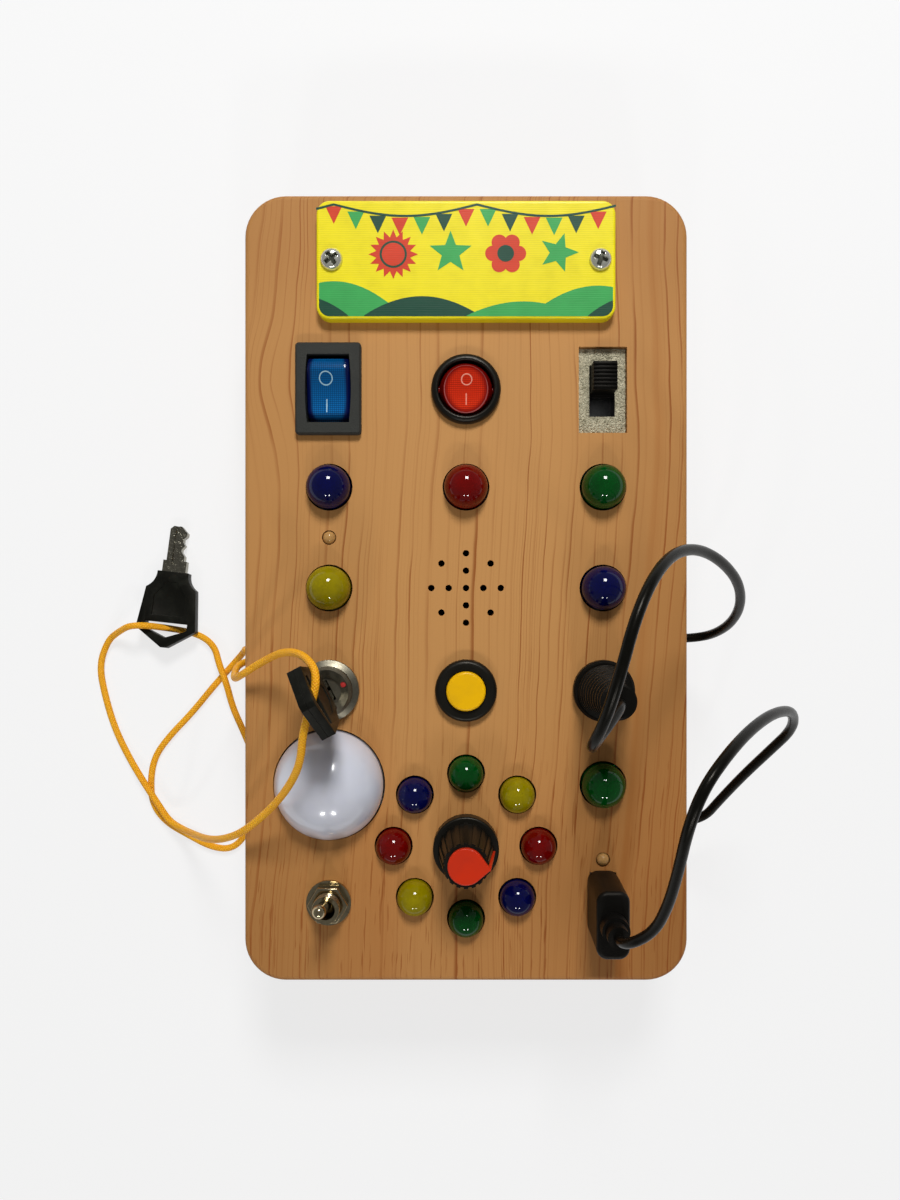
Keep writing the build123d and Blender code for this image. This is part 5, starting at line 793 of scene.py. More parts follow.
def settled(helper):
    """Plain mesh of a helper object with its modifiers applied; the helper goes."""
    bpy.context.scene.collection.objects.link(helper)
    evaluated = helper.evaluated_get(bpy.context.evaluated_depsgraph_get())
    mesh = bpy.data.meshes.new_from_object(evaluated)
    bpy.data.objects.remove(helper)
    return mesh


def landing(meshes):
    """Gives a function that drops a point straight down onto these meshes."""
    trees = []
    for mesh in meshes:
        shape = bmesh.new()
        shape.from_mesh(mesh)
        trees.append(BVHTree.FromBMesh(shape))
        shape.free()

    def drop(x, y):
        hits = [tree.ray_cast(Vector((x, y, 0.2)), Vector((0, 0, -1)))[0] for tree in trees]
        return max(hit.z for hit in hits if hit is not None)

    return drop


def on_circle(centre, radius, step, steps):
    """Point (x, y) so many steps round a circle."""
    angle = 2 * math.pi * step / steps
    return (centre[0] + radius * math.cos(angle), centre[1] + radius * math.sin(angle))


def disc(centre, radius, steps=40):
    """Round outline."""
    return [on_circle(centre, radius, step, steps) for step in range(steps)]


def bridge(shape, lower, upper):
    """Adds and gives the faces between two rings of vertices; one vertex alone is a tip."""
    count = max(len(lower), len(upper))
    faces = []
    for step in range(count if count > 1 else 0):
        after = (step + 1) % count
        corners = [
            lower[step % len(lower)],
            lower[after % len(lower)],
            upper[after % len(upper)],
            upper[step % len(upper)],
        ]
        faces.append(shape.faces.new(list(dict.fromkeys(corners))))
    return faces


def printed(shape, rows, drop, proud):
    """Adds a thin closed strip that follows the surface below it.

    rows holds pairs of left and right (x, y) points; the strip is closed if they come round.
    """
    closed = rows[0] == rows[-1]
    rings = []
    for left, right in rows[:-1] if closed else rows:
        low_left, low_right = drop(*left) - proud, drop(*right) - proud
        corners = (
            (*left, low_left),
            (*right, low_right),
            (*right, low_right + 2 * proud),
            (*left, low_left + 2 * proud),
        )
        rings.append([shape.verts.new(corner) for corner in corners])
    for here, there in zip(rings, rings[1:] + (rings[:1] if closed else [])):
        bridge(shape, here, there)
    if not closed:
        shape.faces.new(rings[0][::-1])
        shape.faces.new(rings[-1])


def turned(profile, centre, steps):
    """Closed shape turned about an upright line; profile holds pairs of radius and height."""
    shape = bmesh.new()
    rings = []
    for radius, height in profile:
        spots = disc(centre, radius, steps if radius else 1)
        rings.append([shape.verts.new((x, y, height)) for x, y in spots])
    for lower, upper in zip(rings, rings[1:] + rings[:1]):
        bridge(shape, lower, upper)
    return shape


def slab(shape, outline, bottom, top, index):
    """Adds an upright prism over an outline of (x, y) corners, in the material of this index."""
    low = [shape.verts.new((x, y, bottom)) for x, y in outline]
    high = [shape.verts.new((x, y, top)) for x, y in outline]
    faces = [shape.faces.new(low[::-1]), shape.faces.new(high), *bridge(shape, low, high)]
    for face in faces:
        face.material_index = index


def softened(node, width, segments=2, angle=32):
    """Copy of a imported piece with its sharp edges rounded, by so many mm."""
    shape = bmesh.new()
    shape.from_mesh(frame["nodes"][node].data)
    bmesh.ops.remove_doubles(shape, verts=shape.verts, dist=1e-6)
    bmesh.ops.dissolve_limit(
        shape,
        angle_limit=math.radians(0.6),
        verts=shape.verts,
        edges=shape.edges,
        delimit={"NORMAL"},
    )
    helper = bpy.data.objects.new(node + "_soft", written(shape, node + "_soft"))
    bevel = helper.modifiers.new("edges", "BEVEL")
    bevel.width = width * MM
    bevel.segments = segments
    bevel.limit_method = "ANGLE"
    bevel.angle_limit = math.radians(angle)
    return smoothed(settled(helper), 50)


def cord_line(name, route):
    """Points of the smooth line that a cord follows, from its route's control points."""
    curve = bpy.data.curves.new(name, "CURVE")
    curve.dimensions = "3D"
    curve.resolution_u = 14
    spline = curve.splines.new("NURBS")
    spline.points.add(len(route) - 1)
    for control, spot in zip(spline.points, route):
        control.co = (*spot, 1)
    spline.order_u = 3
    spline.use_endpoint_u = True
    line = settled(bpy.data.objects.new(name, curve))
    kept = []
    for vertex in line.vertices:
        if not kept or (vertex.co - kept[-1]).length > 1e-5:
            kept.append(vertex.co.copy())
    bpy.data.meshes.remove(line)
    return kept


def cord_tube(name, points, diameter, sides=16):
    """Closed tube along a line, with a UV map of metres along it and turns around it."""
    last = len(points) - 1
    ahead = [
        (points[min(i + 1, last)] - points[max(i - 1, 0)]).normalized() for i in range(last + 1)
    ]
    across = ahead[0].orthogonal().normalized()
    shape = bmesh.new()
    layer = shape.loops.layers.uv.new("UVMap")
    rings = []
    travelled = [0.0]
    for i, spot in enumerate(points):
        if i:
            across = ahead[i - 1].rotation_difference(ahead[i]) @ across
            travelled.append(travelled[-1] + (spot - points[i - 1]).length)
        across = (across - ahead[i] * across.dot(ahead[i])).normalized()
        beside = ahead[i].cross(across)
        ring = []
        for x, y in disc((0, 0), 1, sides):
            ring.append(shape.verts.new(spot + (across * x + beside * y) * (diameter / 2)))
        rings.append(ring)
    for i in range(last):
        for side, face in enumerate(bridge(shape, rings[i], rings[i + 1])):
            places = [(i, side), (i, side + 1), (i + 1, side + 1), (i + 1, side)]
            for loop, (row, turn) in zip(face.loops, places):
                loop[layer].uv = (travelled[row], turn / sides)
    for ring, place in ((rings[0][::-1], 0.0), (rings[-1], travelled[-1])):
        for loop in shape.faces.new(ring).loops:
            loop[layer].uv = (place, 0.5)
    return smoothed(written(shape, name), 60)


# ---------------------------------------------------------------- geometry nodes
class Growth:
    """A geometry tree in the making, with named inputs."""

    def __init__(self, name, **openings):
        self.tree = bpy.data.node_groups.new(name, "GeometryNodeTree")
        for opening, kind in openings.items():
            self.tree.interface.new_socket(
                name=opening, in_out="INPUT", socket_type="NodeSocket" + kind
            )
        self.entry = self.tree.nodes.new("NodeGroupInput")

    def node(self, kind, settings=None, sockets=None, output=0):
        """Adds a node: its settings first, then its sockets; a text is an input's name."""
        node = self.tree.nodes.new(kind)
        for key, value in (settings or {}).items():
            setattr(node, key, value)
        for key, value in (sockets or {}).items():
            if isinstance(value, str):
                value = self.entry.outputs[value]
            if isinstance(value, bpy.types.NodeSocket):
                self.tree.links.new(value, node.inputs[key])
            else:
                node.inputs[key].default_value = value
        return node.outputs[output]

    def end(self, geometry):
        """Realizes the copies, gives them their finish and closes the tree."""
        self.tree.interface.new_socket(
            name="Geometry", in_out="OUTPUT", socket_type="NodeSocketGeometry"
        )
        real = self.node("GeometryNodeRealizeInstances", None, {0: geometry})
        sockets = {"Geometry": real, "Material": "Finish"}
        painted = self.node("GeometryNodeSetMaterial", None, sockets)
        self.tree.links.new(painted, self.tree.nodes.new("NodeGroupOutput").inputs[0])
        return self.tree


def grown(name, tree, values, seed=None):
    """Plain mesh that a geometry tree gives for these values of its named inputs."""
    helper = bpy.data.objects.new(name, seed or bpy.data.meshes.new(name))
    modifier = helper.modifiers.new("growth", "NODES")
    modifier.node_group = tree
    for item in tree.interface.items_tree:
        if item.in_out == "INPUT" and item.name in values:
            modifier[item.identifier] = values[item.name]
    mesh = settled(helper)
    mesh.name = name
    return mesh


def copies_tree():
    """Copies of one object on the vertices of a mesh, each turned a little further."""
    growth = Growth(
        "Copies on points", Geometry="Geometry", Original="Object", Turn="Float", Finish="Material"
    )
    source = growth.node(
        "GeometryNodeObjectInfo", {"transform_space": "ORIGINAL"}, {"Object": "Original"}, 4
    )
    index = growth.node("GeometryNodeInputIndex")
    after = growth.node("ShaderNodeMath", {"operation": "ADD"}, {0: index, 1: 1.0})
    angle = growth.node("ShaderNodeMath", {"operation": "MULTIPLY"}, {0: after, 1: "Turn"})
    spin = growth.node("ShaderNodeCombineXYZ", None, {2: angle})
    sockets = {"Points": "Geometry", "Instance": source, "Rotation": spin}
    return growth.end(growth.node("GeometryNodeInstanceOnPoints", None, sockets))


def copies(name, original, spots, turn, finish):
    """Mesh of copies of a shape on these spots, each turned a little further."""
    source = bpy.data.objects.new(name + "_one", finished(original, name + "_one", 50))
    points = bpy.data.meshes.new(name + "_points")
    points.from_pydata(spots, [], [])
    values = {"Original": source, "Turn": turn, "Finish": coating(finish)}
    mesh = grown(name, copies_tree(), values, points)
    bpy.data.objects.remove(source)
    return smoothed(mesh, 50)


def rings_tree():
    """Round rings stacked up an upright axis, as the turns of a thread."""
    growth = Growth(
        "Rings up an axis",
        Count="Int",
        Radius="Float",
        Bead="Float",
        Start="Vector",
        Step="Vector",
        Finish="Material",
    )
    line = growth.node(
        "GeometryNodeMeshLine",
        {"mode": "OFFSET", "count_mode": "TOTAL"},
        {"Count": "Count", "Start Location": "Start", "Offset": "Step"},
    )
    hoop, section = [
        growth.node(
            "GeometryNodeCurvePrimitiveCircle",
            {"mode": "RADIUS"},
            {"Resolution": steps, "Radius": size},
        )
        for steps, size in ((64, "Radius"), (8, "Bead"))
    ]
    tube = growth.node("GeometryNodeCurveToMesh", None, {"Curve": hoop, "Profile Curve": section})
    sockets = {"Points": line, "Instance": tube}
    return growth.end(growth.node("GeometryNodeInstanceOnPoints", None, sockets))


def pan_head(radius, height, shank_radius, shank_length):
    """Pan-head screw standing on its seat at the origin, with a cross recess."""
    rings, steps = 48, 144
    # The recess's arms and the slopes at their sides and tips, and its depth, in mm
    arm_half, side_slope, arm_reach, tip_slope, depth = 0.52, 0.14, 1.70, 0.22, 0.95
    shape = bmesh.new()
    # The recess layer marks the cross recess, which the screws' finish darkens as painted shade
    recess = shape.verts.layers.float.new("recess")
    rows = []
    for ring in range(rings + 1):
        reach = math.sin(math.pi / 2 * ring / rings) if ring > rings * 0.7 else ring / rings * 1.27
        reach = min(1, reach)
        row = []
        for x, y in disc((0, 0), reach * radius, steps if ring else 1):
            arms = 0
            for a, b in ((abs(x), abs(y)), (abs(y), abs(x))):
                across = min(1, max(0, (arm_half - a / MM) / side_slope))
                along = min(1, max(0, (arm_reach - b / MM) / tip_slope))
                arms = max(arms, across * along)
            z = height * max(0, 1 - reach ** 4) ** 0.5 - depth * MM * arms
            corner = shape.verts.new((x, y, z))
            corner[recess] = arms
            row.append(corner)
        rows.append(row)
    for low in (0, -shank_length):
        rows.append([shape.verts.new((x, y, low)) for x, y in disc((0, 0), shank_radius, steps)])
    for inner, outer in zip(rows, rows[1:]):
        for step in range(steps):
            after = (step + 1) % steps
            near, far = inner[step % len(inner)], inner[after % len(inner)]
            shape.faces.new(list(dict.fromkeys([near, outer[step], outer[after], far])))
    shape.faces.new(rows[-1][::-1])
    return shape


# ---------------------------------------------------------------- print of the sign
def inside_outline(half_width, half_length, corner, steps=8):
    """Rounded rectangle as corners, counter-clockwise."""
    outline = []
    for quarter, (sx, sy) in enumerate(((1, 1), (-1, 1), (-1, -1), (1, -1))):
        for step in range(steps + 1):
            angle = math.pi / 2 * (quarter + step / steps)
            x = sx * (half_width - corner) + corner * math.cos(angle)
            y = sy * (half_length - corner) + corner * math.sin(angle)
            outline.append((x, y))
    return outline


def trimmed(outline, edge):
    """Part of an outline that lies inside a convex edge."""
    result = outline
    for a, b in zip(edge, edge[1:] + edge[:1]):
        source, result = result, []

        def side(point):
            return (b[0] - a[0]) * (point[1] - a[1]) - (b[1] - a[1]) * (point[0] - a[0])

        for here, there in zip(source, source[1:] + source[:1]):
            s_here, s_there = side(here), side(there)
            if s_here >= 0:
                result.append(here)
            if s_here * s_there < 0:
                share = s_here / (s_here - s_there)
                result.append(tuple(p + share * (q - p) for p, q in zip(here, there)))
        if not result:
            return []
    kept = result[:1]
    for spot in result[1:]:
        if math.dist(spot, kept[-1]) > 1e-3:
            kept.append(spot)
    return kept if len(kept) > 2 and math.dist(kept[0], kept[-1]) > 1e-3 else kept[:-1]


def rayed(centre, outer, inner, points, turn=0.0):
    """Star outline with so many points."""
    outline = []
    for i in range(2 * points):
        reach, angle = (outer, inner)[i % 2], turn + math.pi * i / points
        outline.append((centre[0] + reach * math.sin(angle), centre[1] + reach * math.cos(angle)))
    return outline[::-1]


def hill(left, right, height, floor=-20.0, foot=-13.5, steps=24):
    """Round hill that rises from the sign's lower edge."""
    outline = [(left, floor), (right, floor)]
    for step in range(steps + 1):
        x = right + (left - right) * step / steps
        outline.append((x, foot + height * math.sin(math.pi * step / steps) ** 0.8))
    return outline


def pennant(x, y, width=3.8, drop=4.0):
    """Small hanging flag."""
    return [(x - width / 2, y), (x, y - drop), (x + width / 2, y)]


def sag(x):
    """Height of the bunting's string, which hangs in arcs."""
    return 12.5 - 2.6 * math.sin(math.pi * (((x + 30) / 5) % 6.5) / 6.5)


LEAF, FOREST, FLAME = 0, 1, 2
STRING_WIDTH = 0.5


def sign_shapes():
    """Outlines of the sign's print in mm from its middle, each with its ink and its layer."""
    shapes = []
    for left, right, height, ink, layer in (
        (-46, -14, 8.6, LEAF, 0),
        (14, 46, 7.6, LEAF, 0),
        (-24, 4, 5.2, FOREST, 1),
        (-1, 27, 4.0, LEAF, 2),
        (-50, -26, 5.4, FOREST, 3),
        (27, 52, 5.6, FOREST, 3),
    ):
        shapes.append((hill(left, right, height), ink, layer))
    for flag in range(13):
        x = -30 + 5 * flag
        shapes.append((pennant(x, sag(x) - 0.4), (FLAME, LEAF, FOREST)[flag % 3], 0))
    string = [(-34 + 0.5 * step, sag(-34 + 0.5 * step)) for step in range(137)]
    lower = [(x, y - STRING_WIDTH / 2) for x, y in string]
    upper = [(x, y + STRING_WIDTH / 2) for x, y in string[::-1]]
    shapes.append((lower + upper, FOREST, 2))
    sun, flower = (-16.5, 1.2), (9, 1.4)
    shapes += [
        (rayed(sun, 5.6, 3.9, 16), FLAME, 1),
        (disc(sun, 3.1), FOREST, 2),
        (disc(sun, 2.6), FLAME, 3),
        (rayed((-3.5, 1.6), 5.0, 2.1, 5), LEAF, 1),
    ]
    for petal in range(6):
        shapes.append((disc(on_circle(flower, 2.9, petal, 6), 1.75), FLAME, 1 + petal % 2))
    shapes.append((disc(flower, 1.9), FOREST, 3))
    shapes.append((rayed((21, 1.6), 4.6, 2.0, 5, 0.3), LEAF, 1))
    return shapes


# ---------------------------------------------------------------- operators
# Half the floor's width in metres, and the share of its white that is its own
FLOOR_REACH, FLOOR_GLOW = 3.0, 0.78
# The camera's sensor in mm, and the height in metres that it sees at the face
SENSOR, VIEW_HEIGHT = 36.0, 0.276
# The two small lamps: their width in metres and their power in watts
SPARKLE_SIZE, SPARKLE_POWER = 0.14, 3.6


class StageOperator(bpy.types.Operator):
    """Set the floor, the lamps, the world and the camera"""

    bl_idname = "board.stage"
    bl_label = "Set the stage"

    def execute(self, context):
        scene = context.scene
        scene.view_settings.view_transform = "Standard"
        mesh = bpy.data.meshes.new("floor")
        corners = [(x * FLOOR_REACH, y * FLOOR_REACH, 0) for x, y in
                   ((-1, -1), (1, -1), (1, 1), (-1, 1))]
        mesh.from_pydata(corners, [], [(0, 1, 2, 3)])
        mesh.materials.append(self.paper())
        floor = bpy.data.objects.new("floor", mesh)
        scene.collection.objects.link(floor)
        self.camera(scene)
        self.lamps(scene)
        self.sky(scene)
        return {"FINISHED"}

    def paper(self):
        """Pale floor that keeps the object's shadow."""
        finish = Finish("pale_floor", base_color=shades().backdrop, roughness=0.9)
        light = {"Color": shades().backdrop, "Strength": 1.0}
        glow = finish.node("ShaderNodeEmission", None, light)
        share = sum(background_rays(finish)).rise(0, 1) * FLOOR_GLOW
        lit = Field(finish, finish.shader.outputs[0])
        both = finish.node("ShaderNodeMixShader", None, {0: share, 1: lit, 2: glow})
        finish.tree.links.new(both.socket, finish.tree.nodes["Material Output"].inputs[0])
        return finish.material

    def camera(self, scene):
        """Camera straight above the face, shifted as little as the framing needs."""
        height = scene.board_sizes.camera_height
        lens = bpy.data.cameras.new("camera")
        lens.sensor_fit = "VERTICAL"
        lens.sensor_height = SENSOR
        lens.lens = SENSOR * (height - FACE) / VIEW_HEIGHT
        lens.shift_x, lens.shift_y = -0.01333, -0.01
        lens.clip_start = 0.01
        camera = bpy.data.objects.new("camera", lens)
        camera.location = (0, 0, height)
        scene.collection.objects.link(camera)
        scene.camera = camera

    def lamps(self, scene):
        """One large soft lamp beyond the sign and two small ones for sparkle."""
        aim = Vector((0, -0.01, FACE))
        for name, spot, size, power in (
            ("key", (0.05, 0.54, 0.62), 0.20, scene.board_sizes.key_light),
            ("sparkle_left", (-0.26, -1.30, 0.99), SPARKLE_SIZE, SPARKLE_POWER),
            ("sparkle_right", (0.26, -1.30, 0.99), SPARKLE_SIZE, SPARKLE_POWER),
        ):
            light = bpy.data.lights.new(name, "AREA")
            light.size = size
            light.energy = power
            lamp = bpy.data.objects.new(name, light)
            lamp.location = spot
            lamp.rotation_euler = (aim - Vector(spot)).to_track_quat("-Z", "Y").to_euler()
            scene.collection.objects.link(lamp)

    def sky(self, scene):
        """Soft world light, dimmer overhead, and white where the camera sees it."""
        world = bpy.data.worlds.new("studio")
        world.use_nodes = True
        web = Web(world.node_tree)
        _, _, up = web.split(web.node("ShaderNodeTexCoord", output="Generated"))
        sides, top = scene.board_sizes.side_light, scene.board_sizes.top_light
        strength = up.rise(0.30, 0.90) * (top - sides) + sides
        light = {"Color": shades().backdrop, "Strength": strength}
        room = web.node("ShaderNodeBackground", None, light)
        seen = web.node("ShaderNodeBackground", None, {"Color": shades().backdrop})
        straight, in_metal_or_glass = background_rays(web)
        shown = (straight + (1 - up.rise(0.01, 0.07)) * in_metal_or_glass).rise(0, 1)
        blend = web.node("ShaderNodeMixShader", None, {0: shown, 1: room, 2: seen})
        web.tree.links.new(blend.socket, web.tree.nodes["World Output"].inputs[0])
        scene.world = world


class CordsOperator(bpy.types.Operator):
    """Lay the two plug cables and the key cord along their routes"""

    bl_idname = "board.cords"
    bl_label = "Lay the cords"

    def execute(self, context):
        cable, cord = context.scene.board_sizes.cable, context.scene.board_sizes.cord
        self.lay("jack_lead", JACK_CABLE_ROUTE, cable, "cable_sheath", "rubber", "jack_plug",
                 "jack_cable", 0.1494, "plug", "medium", ["jack_plug_pin", "jack_plug_grip"])
        self.lay("usb_lead", USB_CABLE_ROUTE, cable, "cable_sheath", "rubber", "usb_plug",
                 "usb_cable", 0.1548, "plug", "medium", ["usb_plug_shell", "usb_plug_body"])
        self.lay("key_string", KEY_CORD_ROUTE, cord, "satin_cord", "cord", "cord",
                 "key_cord", 0.3936, "object", "limp", ["spare_key_bow", "spare_key_blade"])
        return {"FINISHED"}

    def lay(self, name, route, diameter, finish, slot, body, node, true_length, far_end,
            stiffness, carried):
        line = cord_line(name, route)
        made = added(name, cord_tube(name, line, diameter), [finish], [node])
        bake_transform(made)


class CaseOperator(bpy.types.Operator):
    """Finish the wooden case, its back, feet and screws"""

    bl_idname = "board.case"
    bl_label = "Finish the case"

    def execute(self, context):
        dress(
            sawn_pine="wood_case back_cover",
            grip_rubber="rubber_feet cable_grommets",
            dull_steel="back_cover_screws",
            nickel="cord_eyelet",
            satin_cord="cord_knot",
        )
        return {"FINISHED"}


class SignOperator(bpy.types.Operator):
    """Print the sign over the battery bay and set its screws"""

    bl_idname = "board.sign"
    bl_label = "Print the sign"

    def execute(self, context):
        dress(sign_yellow="battery_lid")
        low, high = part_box("battery_lid")
        middle = (low + high) / 2
        self.screws()
        margin, corner = 0.65, 2.4
        edge = inside_outline(
            (high.x - low.x) / 2 / MM - margin, (high.y - low.y) / 2 / MM - margin, corner
        )
        proud = context.scene.board_sizes.print_height
        shape = bmesh.new()
        for outline, ink, layer in sign_shapes():
            # The bunting's string is the one long outline, and ends inside the edge
            kept = trimmed(outline, edge) if len(outline) < 80 else outline
            if len(kept) < 3:
                continue
            spots = [(middle.x + x * MM, middle.y + y * MM) for x, y in kept]
            slab(shape, spots, LID_TOP, LID_TOP + proud * (0.4 + 0.15 * layer), ink)
        inks = ("sign_leaf", "sign_forest", "sign_flame")
        piece("sign_print", written(shape, "sign_print"), inks, "board")
        return {"FINISHED"}

    def screws(self):
        """Two cross-recess screws that hold the sign down."""
        low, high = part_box("battery_lid_screws")
        radius = (high.y - low.y) / 2
        row = (low.y + high.y) / 2
        spots = [(low.x + radius, row, LID_TOP), (high.x - radius, row, LID_TOP)]
        shank_radius, turn = 0.0014, 0.62
        head = pan_head(radius, high.z - LID_TOP, shank_radius, LID_TOP - low.z)
        mesh = copies("lid_screw_heads", head, spots, turn, "screw_zinc")
        piece("lid_screw_heads", mesh, [], "board", ["battery_lid_screws"])


class RockersOperator(bpy.types.Operator):
    """Finish both rocker switches and print their marks"""

    bl_idname = "board.rockers"
    bl_label = "Finish the rockers"

    def execute(self, context):
        dress(
            frame_grey="rocker_housing", black_gloss="round_rocker_housing", red_clear="red_rocker"
        )
        blue, red = self.paddle(), frame["nodes"]["red_rocker"].data
        piece("blue_paddle", blue, ["blue_clear"], "blue_rocker_body",
              ["blue_rocker"])
        proud = context.scene.board_sizes.mark_height
        self.marks("blue_marks", "rocker_tilt", "blue_rocker_body", blue, proud, "mark_blue",
                   (-0.5, 2.3), 1.45, (-0.4, -3.8, 3.0), 0.125)
        self.marks("red_marks", "round_rocker_tilt", "red_rocker_body", red, proud, "mark_red",
                   (0.15, 1.85), 1.18, (0.05, -2.5, 2.6), 0.13)
        return {"FINISHED"}

    def paddle(self):
        """Long paddle with bulging sides, a hollow top and rounded ridges, at its tilt."""
        # Profile from one end over the ridge and the hollow, in mm from the pivot
        end, foot, ridge, low, dip, steps = 7.3, -1.0, 4.8, 2.9, 0.73, 18
        path = [(-end, foot), (-end, 0.6), (-end, 1.75), (-7.24, 1.98), (-7.08, 2.2), (-6.6, 2.72)]
        path += [(-6.25, 3.06), (-6.0, 3.22), (-5.4, 3.46), (-5.0, 3.6), (-ridge, low + dip)]
        to_middle = len(path)
        path += [(2 * ridge * step / steps - ridge, low + dip * abs(1 - 2 * step / steps) ** 2)
                 for step in range(1, steps)]
        path += [(-y, z) for y, z in path[:to_middle][::-1]]
        # Across: the share of the half width that is flat, the rest, and how far its edge drops
        columns, flat, bent, edge_drop = 24, 0.80, 0.20, 0.95
        place = Matrix.Translation(ROCKER_PIVOTS["rocker_tilt"])
        place = place @ Matrix.Rotation(ROCKER_TILT, 4, "X")
        shape = bmesh.new()

        def half_width(y):
            return 4.68 + 0.42 * (1 - (y / end) ** 2)

        def spot(x, y, z):
            return shape.verts.new(place @ (Vector((x, y, z)) * MM))

        rows = []
        for y, z in path:
            half = half_width(y)
            row = []
            for column in range(columns + 1):
                share = math.sin(math.pi / 2 * (2 * column / columns - 1))
                beyond = max(0, abs(share) - flat) / bent
                rounding = 1 - math.sqrt(max(0, 1 - beyond ** 2))
                drop = edge_drop * rounding * min(1, (z - foot) / 3.4)
                row.append(spot(half * share, y, z - drop))
            rows.append(row)
        for here, there in zip(rows, rows[1:]):
            for column in range(columns):
                shape.faces.new([here[column], here[column + 1], there[column + 1], there[column]])
        sides = []
        for edge, side, turn in ((0, -1, 1), (columns, 1, -1)):
            feet = [spot(side * half_width(y), y, foot) for y, z in path]
            feet[0], feet[-1] = rows[0][edge], rows[-1][edge]
            for i in range(len(rows) - 1):
                corners = [rows[i][edge], rows[i + 1][edge], feet[i + 1], feet[i]][::turn]
                corners = list(dict.fromkeys(corners))
                if len(corners) > 2:
                    shape.faces.new(corners)
            sides.append(feet)
        left, right = sides
        shape.faces.new([*rows[0], *right[1:-1], *rows[-1][::-1], *left[-2:0:-1]])
        return finished(shape, "blue_paddle", 48)

    def marks(self, name, joint, body, mesh, proud, ink, ring, reach, bar, line):
        """Ring and bar printed on the top of a paddle; sizes in mm from its pivot."""
        middle = ROCKER_PIVOTS[joint]
        drop = landing([mesh])
        shape = bmesh.new()
        steps, bar_steps = 48, 8

        def spot(x, y):
            return (middle.x + x * MM, middle.y + y * MM)

        rows = [
            tuple(spot(*on_circle(ring, radius, step, steps))
                  for radius in (reach - line, reach + line))
            for step in range(steps)
        ]
        printed(shape, rows + rows[:1], drop, proud)
        rows = []
        for step in range(bar_steps + 1):
            y = bar[1] + bar[2] * (step / bar_steps - 0.5)
            rows.append((spot(bar[0] - line, y), spot(bar[0] + line, y)))
        printed(shape, rows, drop, proud)
        piece(name, finished(shape, name), [ink], body)


class SlideOperator(bpy.types.Operator):
    """Finish the slide switch"""

    bl_idname = "board.slide"
    bl_label = "Finish the slide switch"

    def execute(self, context):
        dress(cast_plate="slide_switch_plate", dull_steel="slide_switch_body")
        piece("slide_grip", softened("slide_knob", 0.10), ["ridge_black"], "slide_knob_body",
              ["slide_knob"])
        return {"FINISHED"}


class ButtonOperator(bpy.types.Operator):
    """Finish the push button and wind its spring"""

    bl_idname = "board.button"
    bl_label = "Finish the push button"

    def execute(self, context):
        dress(black_plastic="button_housing", button_yellow="button_cap")
        low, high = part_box("button_spring")
        wire, slack, turns, steps = 0.0006, 0.00002, 4, 24
        radius = (high.x - low.x - wire) / 2
        bottom, top = low.z + wire / 2, high.z - wire / 2 - slack
        wound = []
        for step in range(turns * steps + 1):
            height = bottom + (top - bottom) * step / (turns * steps)
            spot = on_circle(middle_of("button_spring"), radius, step, steps)
            wound.append(Vector((*spot, height)))
        spring = added("press_spring", cord_tube("press_spring", wound, wire, 12), ["dull_steel"],
                       ["button_spring"])
        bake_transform(spring)
        return {"FINISHED"}


class LockOperator(bpy.types.Operator):
    """Finish the key switch and both keys"""

    bl_idname = "board.lock"
    bl_label = "Finish the lock and its keys"

    def execute(self, context):
        dress(worn_steel="lock_barrel lock_rotor", key_steel="key_blade spare_key_blade")
        # The direction of each bow's thickness, which is level for the key in the lock
        bearing, turn, lean = math.radians(27.7), math.radians(6.1), math.radians(5.5)
        upright = Vector((math.cos(bearing), math.sin(bearing), 0))
        lying = Vector((math.sin(turn) * math.sin(lean), math.cos(turn) * math.sin(lean),
                        math.cos(lean)))
        for name, node, body, across in (
            ("key_grip", "key_bow", "key", upright),
            ("spare_key_grip", "spare_key_bow", "board", lying),
        ):
            finish = bow_plastic(name + "_plastic", middle_of(node), across)
            piece(name, softened(node, 0.28, 3), [finish], body, [node])
        self.dot()
        return {"FINISHED"}

    def dot(self):
        """Drop of paint on the barrel's face that shows where the key points."""
        reach, bearing, sunk = 4.15 * MM, 24, 0.0006
        spot = on_circle(middle_of("lock_barrel"), reach, bearing, 360)
        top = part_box("lock_barrel")[1].z - sunk
        profile = [(0, top), (0.00068, top), (0.0006, top + 0.00016), (0.0003, top + 0.00022),
                   (0, top + 0.00024)]
        mesh = finished(turned(profile, spot, 32), "red_dot")
        piece("red_dot", mesh, ["dot_red"], "board")


class ToggleOperator(bpy.types.Operator):
    """Finish the toggle switch"""

    bl_idname = "board.toggle"
    bl_label = "Finish the toggle switch"

    def execute(self, context):
        dress(nickel="toggle_body toggle_washer toggle_lever")
        piece("toggle_hex", softened("toggle_nut", 0.18, angle=40), ["nickel"], "board",
              ["toggle_nut"])
        middle, bead = middle_of("toggle_nut"), 0.0002
        sizes = {
            "Count": 6,
            "Radius": 0.00292,
            "Bead": bead,
            "Start": (middle.x, middle.y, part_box("toggle_nut")[1].z + bead),
            "Step": (0, 0, 0.00048),
            "Finish": coating("nickel"),
        }
        thread = grown("toggle_thread", rings_tree(), sizes)
        thread.shade_smooth()
        piece("toggle_thread", thread, [], "board")
        return {"FINISHED"}


class KnobOperator(bpy.types.Operator):
    """Finish the knob, its pointer and its shaft"""

    bl_idname = "board.knob"
    bl_label = "Finish the knob"

    def execute(self, context):
        dress(
            black_plastic="knob_body",
            pointer_orange="knob_cap",
            white_plastic="pot_shaft",
            dull_steel="pot_body",
            nickel="panel_nuts",
        )
        return {"FINISHED"}


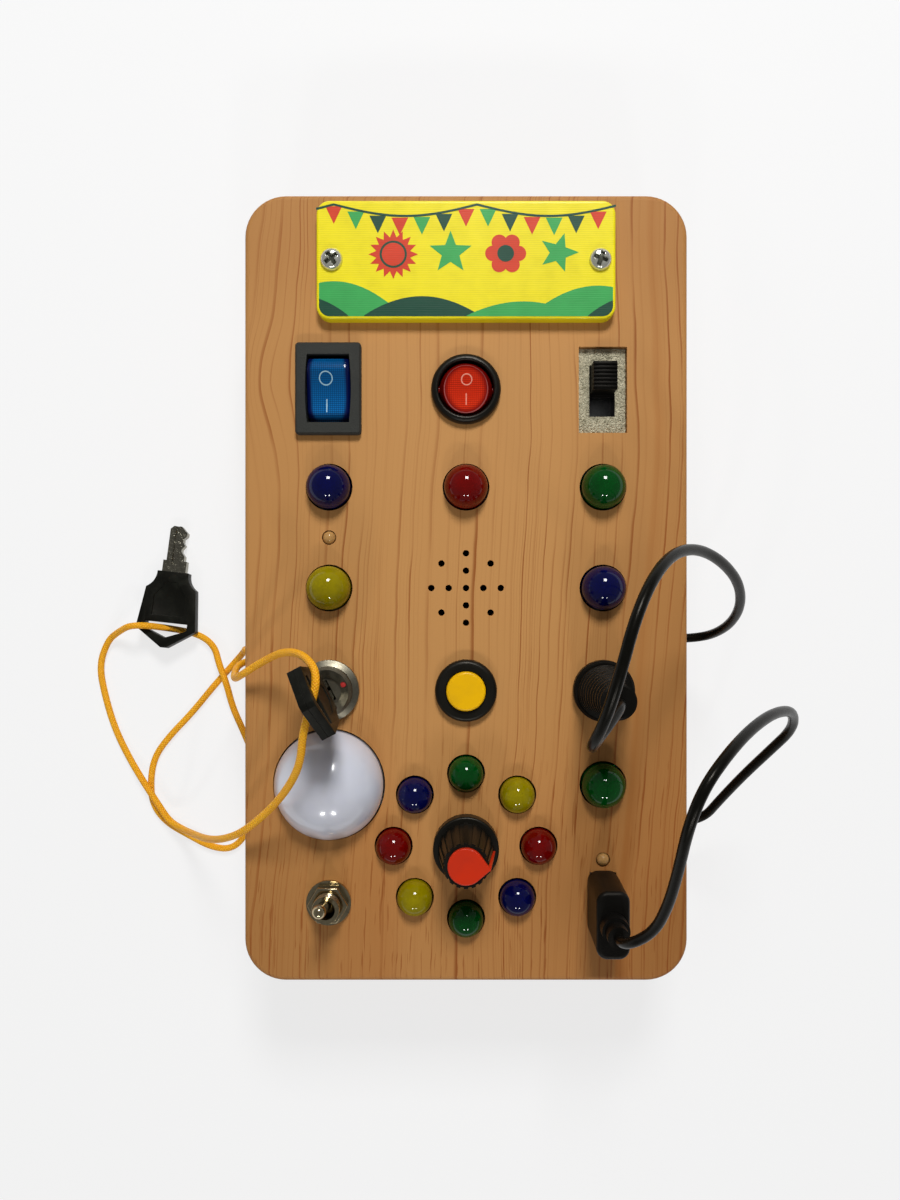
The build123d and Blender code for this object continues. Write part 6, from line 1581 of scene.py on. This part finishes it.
class LampsOperator(bpy.types.Operator):
    """Finish the lamps and the dome"""

    bl_idname = "board.lamps"
    bl_label = "Finish the lamps"

    def execute(self, context):
        dress(
            blue_epoxy="blue_leds",
            red_epoxy="red_leds",
            green_epoxy="green_leds",
            yellow_epoxy="yellow_leds",
            clear_epoxy="clear_leds",
            milky_dome="lamp_dome",
            white_plastic="lamp_base",
        )
        return {"FINISHED"}


class PlugsOperator(bpy.types.Operator):
    """Finish both plugs and their sockets"""

    bl_idname = "board.plugs"
    bl_label = "Finish the plugs"

    def execute(self, context):
        dress(
            black_plastic="jack_socket",
            nickel="jack_plug_pin usb_plug_shell",
            dull_steel="usb_socket",
            grip_rubber="jack_plug_grip usb_plug_body",
        )
        return {"FINISHED"}


class InsidesOperator(bpy.types.Operator):
    """Finish the battery box, the speaker, the circuit board and the wiring"""

    bl_idname = "board.insides"
    bl_label = "Finish the insides"

    def execute(self, context):
        dress(
            black_plastic="battery_holder",
            cell_jacket="battery_cells",
            dull_steel="battery_contacts speaker_frame",
            speaker_paper="speaker_cone",
            circuit_green="circuit_board",
            chip_black="circuit_components",
            white_plastic="board_spacers",
            brass="switch_terminals",
            copper_lead="leads_and_wires",
        )
        return {"FINISHED"}


STEPS = (
    StageOperator,
    CordsOperator,
    CaseOperator,
    SignOperator,
    RockersOperator,
    SlideOperator,
    ButtonOperator,
    LockOperator,
    ToggleOperator,
    KnobOperator,
    LampsOperator,
    PlugsOperator,
    InsidesOperator,
)


class BoardPanel(bpy.types.Panel):
    """Steps that dress the busy board"""

    bl_idname = "BOARD_PT_steps"
    bl_label = "Busy board"
    bl_space_type = "VIEW_3D"
    bl_region_type = "UI"
    bl_category = "Busy board"

    def draw(self, context):
        for step in STEPS:
            self.layout.operator(step.bl_idname)


CLASSES = (BoardColours, BoardSizes, *STEPS, BoardPanel)


def register():
    """Registers the classes and the scene's sizes and colours."""
    for entry in CLASSES:
        bpy.utils.register_class(entry)
    bpy.types.Scene.board_colours = bpy.props.PointerProperty(type=BoardColours)
    bpy.types.Scene.board_sizes = bpy.props.PointerProperty(type=BoardSizes)


def unregister():
    """Takes them away again."""
    del bpy.types.Scene.board_sizes
    del bpy.types.Scene.board_colours
    for entry in reversed(CLASSES):
        bpy.utils.unregister_class(entry)


def main():
    """Dresses the board step by step."""
    register()
    for step in STEPS:
        group, call = step.bl_idname.split(".")
        getattr(getattr(bpy.ops, group), call)()


if __name__ == "__main__":
    main()
